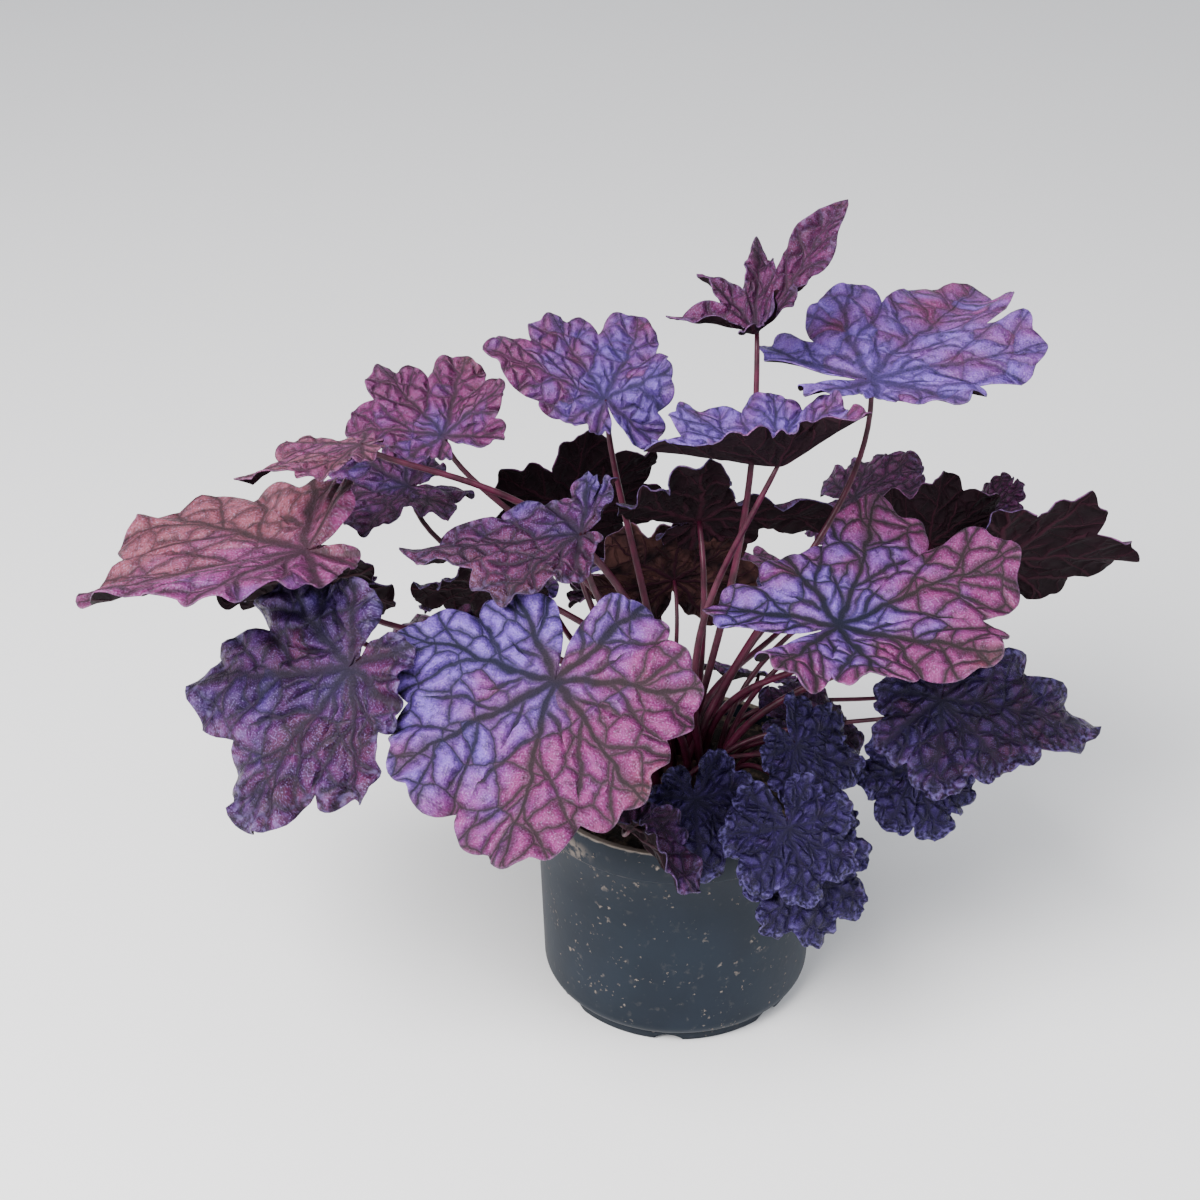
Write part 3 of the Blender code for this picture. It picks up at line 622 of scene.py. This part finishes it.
def blade_points(leaf, settings, order, theta, reach, rings):
    """The blade's places in the room: rays from the hub that bend as they run out."""
    run = (np.arange(rings) + 0.5) / rings
    start = along(leaf.lift, theta) + leaf.fold * np.sin(theta) ** 2
    wave = leaf.ruffle * run**2 * np.sin(leaf.waves * theta + leaf.phase)[:, None]
    frill = (1 + CRUMPLE * look(leaf).gloom) * math.degrees(settings.frill) * run**4
    frill = frill * np.sin(FRILL_WAVES * theta + 2 * leaf.phase + order)[:, None]
    slope = start[:, None] * (1 - np.exp(-run / HUB_BEND)) - leaf.droop * run + wave + frill
    slope = np.radians(slope)
    step = (reach * leaf.size * MM / rings)[:, None]
    zero = np.zeros((len(theta), 1))
    out = np.concatenate([zero, np.cumsum(np.cos(slope) * step, axis=1)], axis=1)
    rise = np.concatenate([zero, np.cumsum(np.sin(slope) * step, axis=1)], axis=1)
    tip, side, up = (np.array(axis) for axis in leaf_axes(leaf))
    turned = tip * np.cos(theta)[:, None] + side * np.sin(theta)[:, None]
    return np.array(leaf.at) * MM + turned[:, None, :] * out[:, :, None] + up * rise[:, :, None]


def blade_normals(points, up):
    """Directions out of the upper face. The first and the last ray are the same one."""
    round_hub = np.gradient(points, axis=0)
    round_hub[0] = round_hub[-1] = points[1] - points[-2]
    normal = np.cross(np.gradient(points, axis=1), round_hub)
    size = np.linalg.norm(normal, axis=2, keepdims=True)
    return np.where(size > NO_LENGTH, normal / np.maximum(size, NO_LENGTH), up)


def blade_shape(leaf, settings, order):
    """The blade's upper surface: a grid wrapped round the hub, with its flat places and looks."""
    around, rings = LARGE_GRID if leaf.size > LARGE_LEAF else SMALL_GRID
    hue = look(leaf)
    theta = np.linspace(-math.pi, math.pi, around + 1)
    reach = outline(theta, leaf.cut, leaf.blunt) * along(leaf.reach, theta)
    points = blade_points(leaf, settings, order, theta, reach, rings)

    # Places on the flat leaf, and the same places bent so that no vein runs dead straight
    share = np.arange(rings + 1) / rings
    flat_x = reach[:, None] * share * np.sin(theta)[:, None]
    flat_y = reach[:, None] * share * np.cos(theta)[:, None]
    bent_x = 0.014 * np.sin(8 * flat_y + order) + 0.007 * np.sin(19 * flat_y + 11 * flat_x)
    bent_y = 0.014 * np.sin(9 * flat_x + 2 * order) + 0.007 * np.sin(21 * flat_x - 9 * flat_y)
    inward = np.minimum(1, share / STRAIGHT_WITHIN)
    bent_x = flat_x + bent_x * inward
    bent_y = flat_y + bent_y * inward

    # Swellings between the veins, and lumps on the dark leaves
    up = leaf_axes(leaf)[2]
    from_hub = leaf.size * MM * np.minimum(1, 3 * share)
    height = settings.pucker * (swelling(bent_x, bent_y) - 0.5) * (1 + CRUMPLE * hue.gloom)
    lumps = np.sin(23 * bent_x + order) * np.sin(19 * bent_y + 2 * order)
    lumps = lumps + 0.6 * np.sin(41 * bent_x + 37 * bent_y)
    height = (height + hue.gloom * LUMP_HEIGHT * lumps) * from_hub
    points = points + blade_normals(points, np.array(up)) * (height + settings.thickness / 2)[:, :, None]
    points[:, 0] = points[0, 0]
    points[-1] = points[0]
    tint = hue.middle + hue.across * flat_x + hue.lengthwise * flat_y
    tint = tint + hue.outwards * np.hypot(flat_x, flat_y)

    shape = bmesh.new()
    flat_layer = shape.loops.layers.uv.new("flat")
    layers = {name: shape.verts.layers.float.new(name) for name in ("tint", "gloom", "bold", "run")}
    bmesh.ops.create_grid(shape, x_segments=around, y_segments=rings, size=0.5)
    places = {}
    for vert in shape.verts:
        i, j = round((vert.co.x + 0.5) * around), round((vert.co.y + 0.5) * rings)
        vert.co = points[i, j]
        vert[layers["tint"]] = tint[i, j]
        vert[layers["gloom"]] = hue.gloom
        vert[layers["bold"]] = hue.bold
        vert[layers["run"]] = share[j]
        places[vert.index] = (bent_x[i, j], bent_y[i, j])
    for face in shape.faces:
        for loop in face.loops:
            loop[flat_layer].uv = places[loop.vert.index]
    clean_up(shape)
    facing = sum((face.normal * face.calc_area() for face in shape.faces), Vector())
    if facing.dot(up) < 0:
        bmesh.ops.reverse_faces(shape, faces=shape.faces)
    return shape


def clean_up(shape):
    """Merge doubled corners, turn the faces outwards and shade them smooth."""
    bmesh.ops.remove_doubles(shape, verts=shape.verts, dist=SAME_PLACE)
    bmesh.ops.recalc_face_normals(shape, faces=shape.faces)
    for face in shape.faces:
        face.smooth = True


def linked(name, mesh):
    made = bpy.data.objects.new(name, mesh)
    bpy.context.scene.collection.objects.link(made)
    return made


def finished_mesh(rough):
    """The object's mesh with its modifiers applied. The object goes."""
    graph = bpy.context.evaluated_depsgraph_get()
    mesh = bpy.data.meshes.new_from_object(rough.evaluated_get(graph))
    bpy.data.objects.remove(rough, do_unlink=True)
    return mesh


def soil_height(radius):
    return SOIL_TOP + SOIL_HEAP * (1 - (radius / POT_TOP_RADIUS) ** 2)


def stalk_slots():
    """Where each stalk stands: the tallest leaves in the middle rings, each near its own leaf's side."""
    waiting = sorted(LEAVES, key=lambda leaf: -leaf.at[2])
    slots = {}
    for radius, count in STALK_RINGS:
        ring, waiting = waiting[:count], waiting[count:]
        ring.sort(key=lambda leaf: math.atan2(leaf.at[1], leaf.at[0]))
        sums = [0, 0]
        for index, leaf in enumerate(ring):
            lag = math.atan2(leaf.at[1], leaf.at[0]) - index * math.tau / count
            sums[0] += math.cos(lag)
            sums[1] += math.sin(lag)
        start = math.atan2(sums[1], sums[0])
        for index, leaf in enumerate(ring):
            turn = start + index * math.tau / count
            slots[leaf.name] = Vector((radius * math.cos(turn), radius * math.sin(turn), 0))
    return slots


def stalk_route(leaf, slot):
    """Points from inside the soil, straight up out of it and in one arc to the underside of the blade."""
    _, _, up = leaf_axes(leaf)
    ground = slot + Vector((0, 0, soil_height(slot.length)))
    in_crown = slot.length < CROWN_RADIUS
    foot = ground + Vector((0, 0, CROWN_RISE + STALK_RISE if in_crown else STALK_RISE))
    end = Vector(leaf.at) * MM
    span = (end - foot).length
    side = Vector((end.x, end.y, 0)).normalized()
    arrive = (up + side * 0.15 + Vector((0, 0, 0.25))).normalized()
    push = Vector(leaf.bow) * MM
    first = foot + Vector((0, 0, 0.45 * span)) + side * 0.05 * span + push
    last = end - arrive * 0.35 * span + push
    route = [ground - Vector((0, 0, STALK_DEPTH))]
    for index in range(STALK_POINTS):
        share = index / (STALK_POINTS - 1)
        rest = 1 - share
        route.append(
            foot * rest**3 + first * 3 * rest**2 * share + last * 3 * rest * share**2 + end * share**3
        )
    return route


def stalk_mesh(leaf, slot):
    curve = bpy.data.curves.new("stalk", "CURVE")
    curve.dimensions = "3D"
    curve.bevel_depth = LARGE_STALK_RADIUS if leaf.size > LARGE_LEAF else SMALL_STALK_RADIUS
    curve.bevel_resolution = 3
    curve.use_fill_caps = True
    route = stalk_route(leaf, slot)
    spline = curve.splines.new("POLY")
    spline.points.add(len(route) - 1)
    for index, (point, place) in enumerate(zip(spline.points, route)):
        point.co = (*place, 1)
        share = max(0, index - 1) / (len(route) - 2)
        point.radius = 1 - (1 - STALK_TAPER) * share
    spline.points[-1].radius = STALK_TIP
    mesh = finished_mesh(linked("stalk", curve))
    shape = bmesh.new()
    shape.from_mesh(mesh)
    clean_up(shape)
    for face in shape.faces:
        face.material_index = STALK
    shape.to_mesh(mesh)
    shape.free()
    return mesh


def grow_leaf(leaf, slot, settings, order):
    """Blade, its thickness and its stalk, in one piece that stands for the leaf's solid."""
    mesh = bpy.data.meshes.new("blade")
    shape = blade_shape(leaf, settings, order)
    shape.to_mesh(mesh)
    shape.free()
    rough = linked("blade", mesh)
    for material in leaf_materials(settings):
        mesh.materials.append(material)
    slab = rough.modifiers.new("thickness", "SOLIDIFY")
    slab.thickness = settings.thickness
    slab.offset = -1
    slab.material_offset = UNDER
    slab.material_offset_rim = UPPER
    blade = finished_mesh(rough)
    stalk = stalk_mesh(leaf, slot)
    shape = bmesh.new()
    shape.from_mesh(blade)
    shape.from_mesh(stalk)
    shape.to_mesh(blade)
    shape.free()
    bpy.data.meshes.remove(stalk)
    piece = linked(leaf.name + "_leaf", blade)
    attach(piece, "root")
    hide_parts("leaf_" + leaf.name)
    return piece


def grow_leaves(context, names):
    settings = context.scene.heuchera_leaves
    slots = stalk_slots()
    for order, leaf in enumerate(LEAVES):
        if leaf.name in names:
            grow_leaf(leaf, slots[leaf.name], settings, order)


def wall_radius(height):
    """Outer radius of the tapered wall."""
    return POT_FOOT_RADIUS + (POT_TOP_RADIUS - RIM_LIP - POT_FOOT_RADIUS) * height / POT_HEIGHT


def arc(middle, radius, start, end, steps):
    """Points of an arc in the profile, from one angle to another in degrees."""
    turns = [math.radians(start + (end - start) * index / steps) for index in range(steps + 1)]
    return [(middle[0] + radius * math.cos(turn), middle[1] + radius * math.sin(turn)) for turn in turns]


def turned_shape(profile, steps):
    """A closed solid of revolution from its profile, which starts and ends on the axis."""
    shape = bmesh.new()
    points = [shape.verts.new((radius, 0, height)) for radius, height in profile]
    edges = [shape.edges.new(pair) for pair in zip(points, points[1:])]
    bmesh.ops.spin(
        shape, geom=points + edges, axis=(0, 0, 1), angle=math.tau, steps=steps, use_merge=True
    )
    clean_up(shape)
    return shape


def pot_profile():
    """Half of the cross-section: from the middle of the underside out, up the wall and back inside."""
    band = POT_HEIGHT - RIM_BAND
    foot = wall_radius(0) - FOOT_INSET
    corner_top = FOOT_RISE + CORNER
    corner = wall_radius(corner_top)
    inside = FOOT_RISE + FLOOR
    profile = [(0, 0), (CENTRE_PAD_RADIUS, 0), (CENTRE_PAD_RADIUS + 0.001, FOOT_RISE)]
    profile += [(foot - FOOT_WIDTH, FOOT_RISE), (foot - FOOT_WIDTH, FOOT_SLACK)]
    profile += [(foot - FOOT_WIDTH + FOOT_SLACK, 0)]
    profile += [(foot - 0.0008, 0), (foot, 0.0008), (foot, FOOT_RISE - 0.001), (foot + 0.0006, FOOT_RISE)]
    profile += arc((corner - CORNER, corner_top), CORNER, -75, 0, 8)
    profile += [(wall_radius(height), height) for height in (0.03, 0.05, 0.07, band - 0.0006)]
    profile += [(wall_radius(band) + 0.0003, band), (POT_TOP_RADIUS - 0.0003, band + RIM_LIP - 0.0003)]
    profile += [(POT_TOP_RADIUS, band + RIM_LIP + 0.0004)]
    profile += arc((POT_TOP_RADIUS - LIP_ROUND, POT_HEIGHT - LIP_ROUND), LIP_ROUND, 0, 90, 4)
    inner = POT_TOP_RADIUS - RIM_LIP - POT_WALL
    profile += arc((inner + LIP_ROUND, POT_HEIGHT - LIP_ROUND), LIP_ROUND, 90, 180, 4)
    profile += [(wall_radius(band) - POT_WALL, band), (corner - POT_WALL, corner_top + FLOOR)]
    profile += [(corner - CORNER, inside), (0, inside)]
    return profile


def soil_profile(edge):
    """Half of the cross-section of the soil that fills the pot up to this radius at its top."""
    bottom = FOOT_RISE + FLOOR + SOIL_GAP
    low = wall_radius(bottom) - CORNER - POT_WALL - SOIL_GAP
    shoulder = wall_radius(FOOT_RISE + CORNER) - POT_WALL - 0.0008
    profile = [(0, bottom), (low - 0.001, bottom), (shoulder, FOOT_RISE + CORNER + FLOOR + 0.001)]
    profile += [(edge, SOIL_TOP - 0.004)]
    radii = [edge * (1 - index / SOIL_RINGS) for index in range(SOIL_RINGS + 1)]
    return profile + [(radius, soil_height(radius)) for radius in radii]


def speckle(w, place, scale, share):
    """Ragged specks of one size, left out where the coarse noise is below the share."""
    cells = {"Vector": w.ragged(place, 3 * scale, (0.8 / scale,) * 3), "Scale": scale}
    spots = w.add("TexVoronoi", cells).outputs["Distance"]
    chosen = w.step(w.noise(place, 0.3 * scale, 3.0), share, share + 0.06)
    return w.times(w.step(spots, 0.10, 0.24, 1.0, 0.0), chosen)


def pot_material(settings):
    """Dark slate plastic with dust, dry soil specks and a smear, a scratch line and a crust on the rim."""
    made, w, shader = principled("slate plastic")
    place = w.add("TexCoord").outputs["Object"]
    height = w.add("SeparateXYZ", {0: place}).outputs[2]
    clouds = w.noise(place, 28.0, 4.0)
    fine = w.noise(place, 260.0, 3.0)

    # Specks of two sizes and the smear
    mark = w.most(speckle(w, place, 150.0, 0.56), speckle(w, place, 330.0, 0.50))
    mark = w.times(mark, w.step(fine, 0.35, 0.6, 0.45, 1.0))
    away = w.vector("MULTIPLY", w.vector("SUBTRACT", place, POT_SMEAR), (1, 1, 2.2))
    smear = w.step(w.length(away), 0.004, 0.016, 0.8, 0.0)
    smear = w.times(smear, w.step(fine, 0.40, 0.56))

    # Crust along the top of the rim, scratch under the rim band
    top = w.math("ADD", height, w.times(fine, 0.0022))
    crust = w.step(top, POT_HEIGHT - 0.0002, POT_HEIGHT + 0.0009)
    scratch = w.math("ABSOLUTE", w.math("SUBTRACT", height, POT_HEIGHT - RIM_BAND + 0.001))
    scratch = w.times(w.step(scratch, 0.0001, 0.0006, 0.6, 0.0), w.step(clouds, 0.45, 0.6))

    worn = colour(settings.plastic, 1.35)
    plastic = w.clamp_mix(w.step(clouds, 0.3, 0.7), colour(settings.plastic), worn)
    dust = w.most(mark, smear, scratch, crust, w.step(fine, 0.6, 0.8, 0.0, 0.10))
    w.put(shader.inputs["Base Color"], w.clamp_mix(w.times(dust, 0.75), plastic, colour(settings.dust)))
    w.put(shader.inputs["Roughness"], w.step(dust, 0.0, 1.0, 0.45, 0.9))
    shader.inputs["Specular IOR Level"].default_value = 0.12
    w.put(shader.inputs["Normal"], bump(w, w.math("ADD", dust, w.times(fine, 0.15)), 0.0004))
    return made


def notch_height(point):
    """How high the foot ring is cut away at this place round it."""
    turn = math.atan2(point.y, point.x) - FIRST_NOTCH
    spacing = math.tau / NOTCHES
    away = (turn - round(turn / spacing) * spacing) * math.hypot(point.x, point.y)
    return NOTCH_HEIGHT * math.sqrt(max(0, 1 - (away / NOTCH_RADIUS) ** 2))


def soil_material(settings):
    made, w, shader = principled("potting soil")
    place = w.add("TexCoord").outputs["Object"]
    lumps = w.noise(place, 240.0, 5.0)
    grit = w.add("TexVoronoi", {"Vector": place, "Scale": 320.0}).outputs["Distance"]
    skin = w.clamp_mix(w.step(lumps, 0.42, 0.78), colour(settings.dark), colour(settings.pale))
    w.put(shader.inputs["Base Color"], skin)
    w.put(shader.inputs["Roughness"], w.step(lumps, 0.2, 0.8, 0.8, 1.0))
    w.put(shader.inputs["Normal"], bump(w, w.math("ADD", lumps, grit), 0.0012))
    return made


def bark_material():
    made, w, shader = principled("rootstock bark")
    place = w.add("TexCoord").outputs["Object"]
    lumps = w.noise(place, 170.0, 5.0)
    skin = w.clamp_mix(w.step(lumps, 0.35, 0.7), DARK_BARK, PALE_BARK)
    w.put(shader.inputs["Base Color"], skin)
    w.put(shader.inputs["Roughness"], w.step(lumps, 0.2, 0.8, 0.6, 0.9))
    w.put(shader.inputs["Normal"], bump(w, lumps, 0.0015))
    return made


def dressed(name, shape, material, node):
    """An object for one piece that stands for a node."""
    mesh = bpy.data.meshes.new(name)
    shape.to_mesh(mesh)
    shape.free()
    mesh.materials.append(material)
    piece = linked(name, mesh)
    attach(piece, "root")
    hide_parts(node)
    return piece


class HEUCHERA_OT_pot(bpy.types.Operator):
    """Mould the pot"""

    bl_idname = "heuchera.pot"
    bl_label = "Pot"

    def execute(self, context):
        settings = context.scene.heuchera_pot
        shape = turned_shape(pot_profile(), settings.steps)
        foot = wall_radius(0) - FOOT_INSET
        for vert in shape.verts:
            reach = math.hypot(vert.co.x, vert.co.y)
            if foot - FOOT_WIDTH - FOOT_SLACK < reach < foot + FOOT_SLACK:
                vert.co.z = max(vert.co.z, min(notch_height(vert.co), FOOT_RISE))
        dressed("moulded_pot", shape, pot_material(settings), "pot")
        return {"FINISHED"}


class HEUCHERA_OT_soil(bpy.types.Operator):
    """Fill the pot with soil and crumbs"""

    bl_idname = "heuchera.soil"
    bl_label = "Soil"

    def execute(self, context):
        settings = context.scene.heuchera_soil
        edge = wall_radius(SOIL_TOP) - POT_WALL - SOIL_GAP
        shape = turned_shape(soil_profile(edge), SOIL_STEPS)
        for vert in shape.verts:
            if vert.co.z > SOIL_TOP - 0.002:
                rough = noise.fractal(vert.co * 140, 0.7, 2.1, 4)
                inside = min(1, (edge - math.hypot(vert.co.x, vert.co.y)) / SOIL_EDGE)
                vert.co.z += SOIL_ROUGHNESS * rough * max(0, inside)
        draw = random.Random(SEED)
        noise.seed_set(SEED)
        for index in range(settings.crumbs):
            at_rim = index % 3 == 0
            if at_rim:
                reach = edge - draw.uniform(0.0005, SOIL_EDGE)
            else:
                reach = 0.96 * edge * math.sqrt(draw.random())
            turn = draw.uniform(0, math.tau)
            radius = draw.uniform(*CRUMB_RADIUS)
            height = soil_height(reach) + (draw.uniform(0, RIM_HEAP) if at_rim else 0.3 * radius)
            spot = Matrix.Translation((reach * math.cos(turn), reach * math.sin(turn), height))
            squash = Matrix.Diagonal((1, draw.uniform(0.6, 1), draw.uniform(0.5, 0.9), 1))
            spin = Matrix.Rotation(draw.uniform(0, math.tau), 4, "Z")
            place = spot @ spin @ squash
            made = bmesh.ops.create_icosphere(shape, subdivisions=1, radius=radius, matrix=place)
            for vert in made["verts"]:
                vert.co += noise.noise_vector(vert.co * 900) * radius * 0.5
        dressed("potting_soil", shape, soil_material(settings), "soil")
        return {"FINISHED"}


class HEUCHERA_OT_crown(bpy.types.Operator):
    """Shape the woody rootstock"""

    bl_idname = "heuchera.crown"
    bl_label = "Rootstock"

    def execute(self, context):
        bottom, level = SOIL_TOP - CROWN_DEPTH, soil_height(0)
        top = level + CROWN_RISE
        profile = [(0, bottom), (CROWN_RADIUS, bottom), (CROWN_RADIUS, soil_height(CROWN_RADIUS))]
        profile += [(0.85 * CROWN_RADIUS, level + 0.5 * CROWN_RISE)]
        profile += [(0.5 * CROWN_RADIUS, top - 0.001), (0, top)]
        shape = turned_shape(profile, 32)
        bmesh.ops.subdivide_edges(shape, edges=shape.edges, cuts=2, use_grid_fill=True, smooth=0.4)
        noise.seed_set(SEED)
        for vert in shape.verts:
            vert.co += noise.noise_vector(vert.co * 320) * BARK_ROUGHNESS
        dressed("rootstock", shape, bark_material(), "crown")
        return {"FINISHED"}


class HEUCHERA_OT_front_leaves(bpy.types.Operator):
    """Grow the large leaves of the front and top"""

    bl_idname = "heuchera.front_leaves"
    bl_label = "Front leaves"

    def execute(self, context):
        grow_leaves(context, FRONT_LEAVES)
        return {"FINISHED"}


class HEUCHERA_OT_low_leaves(bpy.types.Operator):
    """Grow the dark bunch over the pot's rim"""

    bl_idname = "heuchera.low_leaves"
    bl_label = "Low leaves"

    def execute(self, context):
        grow_leaves(context, LOW_LEAVES)
        return {"FINISHED"}


class HEUCHERA_OT_back_leaves(bpy.types.Operator):
    """Grow the leaves in the middle and at the back"""

    bl_idname = "heuchera.back_leaves"
    bl_label = "Back leaves"

    def execute(self, context):
        grow_leaves(context, BACK_LEAVES)
        return {"FINISHED"}


class HEUCHERA_OT_stage(bpy.types.Operator):
    """Set up the pale floor, soft light and camera"""

    bl_idname = "heuchera.stage"
    bl_label = "Stage"

    def execute(self, context):
        settings = context.scene.heuchera_stage
        shape = bmesh.new()
        bmesh.ops.create_grid(shape, x_segments=1, y_segments=1, size=GROUND_SIZE)
        mesh = bpy.data.meshes.new("studio_floor")
        shape.to_mesh(mesh)
        shape.free()
        made, w, shader = principled("studio floor")
        shade = w.noise(w.add("TexCoord").outputs["Object"], 3.0)
        shade = w.clamp_mix(shade, colour(settings.floor), colour(settings.floor, 0.98))
        w.put(shader.inputs["Base Color"], shade)
        shader.inputs["Roughness"].default_value = 0.9
        mesh.materials.append(made)
        floor = linked("studio_floor", mesh)
        self.add_light("key_light", settings.key, *KEY_LIGHT)
        self.add_light("fill_light", settings.fill, *FILL_LIGHT)
        world = bpy.data.worlds.new("studio")
        world.use_nodes = True
        back = world.node_tree.nodes["Background"]
        back.inputs["Color"].default_value = (*SKY, 1)
        back.inputs["Strength"].default_value = settings.sky
        context.scene.world = world
        lens = bpy.data.cameras.new("camera")
        lens.lens = LENS
        lens.sensor_width = SENSOR
        camera = linked("camera", lens)
        camera.location = CAMERA_AT
        camera.rotation_euler = (CAMERA_TILT, 0, 0)
        context.scene.camera = camera
        return {"FINISHED"}

    def add_light(self, name, power, place, size, hue):
        light = bpy.data.lights.new(name, "AREA")
        light.shape = "DISK"
        light.size = size
        light.energy = power
        light.color = hue
        made = linked(name, light)
        made.location = place
        aim = LIGHTS_AIM - Vector(place)
        made.rotation_euler = aim.to_track_quat("-Z", "Y").to_euler()


class HEUCHERA_PT_panel(bpy.types.Panel):
    """Lists the parts of the plant"""

    bl_idname = "HEUCHERA_PT_panel"
    bl_label = "Potted heuchera"
    bl_space_type = "VIEW_3D"
    bl_region_type = "UI"
    bl_category = "Heuchera"

    def draw(self, context):
        for operator in OPERATORS:
            self.layout.operator(operator.bl_idname)
        for name in SETTINGS:
            group = getattr(context.scene, name)
            for key in group.bl_rna.properties.keys():
                if key not in ("rna_type", "name"):
                    self.layout.prop(group, key)


OPERATORS = (
    HEUCHERA_OT_pot,
    HEUCHERA_OT_soil,
    HEUCHERA_OT_crown,
    HEUCHERA_OT_front_leaves,
    HEUCHERA_OT_low_leaves,
    HEUCHERA_OT_back_leaves,
    HEUCHERA_OT_stage,
)
SETTINGS = {
    "heuchera_leaves": LeafSettings,
    "heuchera_pot": PotSettings,
    "heuchera_soil": SoilSettings,
    "heuchera_stage": StageSettings,
}
CLASSES = (*SETTINGS.values(), *OPERATORS, HEUCHERA_PT_panel)


def register():
    for made in CLASSES:
        bpy.utils.register_class(made)
    for name, group in SETTINGS.items():
        setattr(bpy.types.Scene, name, bpy.props.PointerProperty(type=group))


def unregister():
    for name in SETTINGS:
        delattr(bpy.types.Scene, name)
    for made in reversed(CLASSES):
        bpy.utils.unregister_class(made)


def main():
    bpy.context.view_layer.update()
    register()
    bpy.ops.heuchera.pot()
    bpy.ops.heuchera.soil()
    bpy.ops.heuchera.crown()
    bpy.ops.heuchera.front_leaves()
    bpy.ops.heuchera.low_leaves()
    bpy.ops.heuchera.back_leaves()
    bpy.ops.heuchera.stage()
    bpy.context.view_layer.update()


if __name__ == "__main__":
    main()
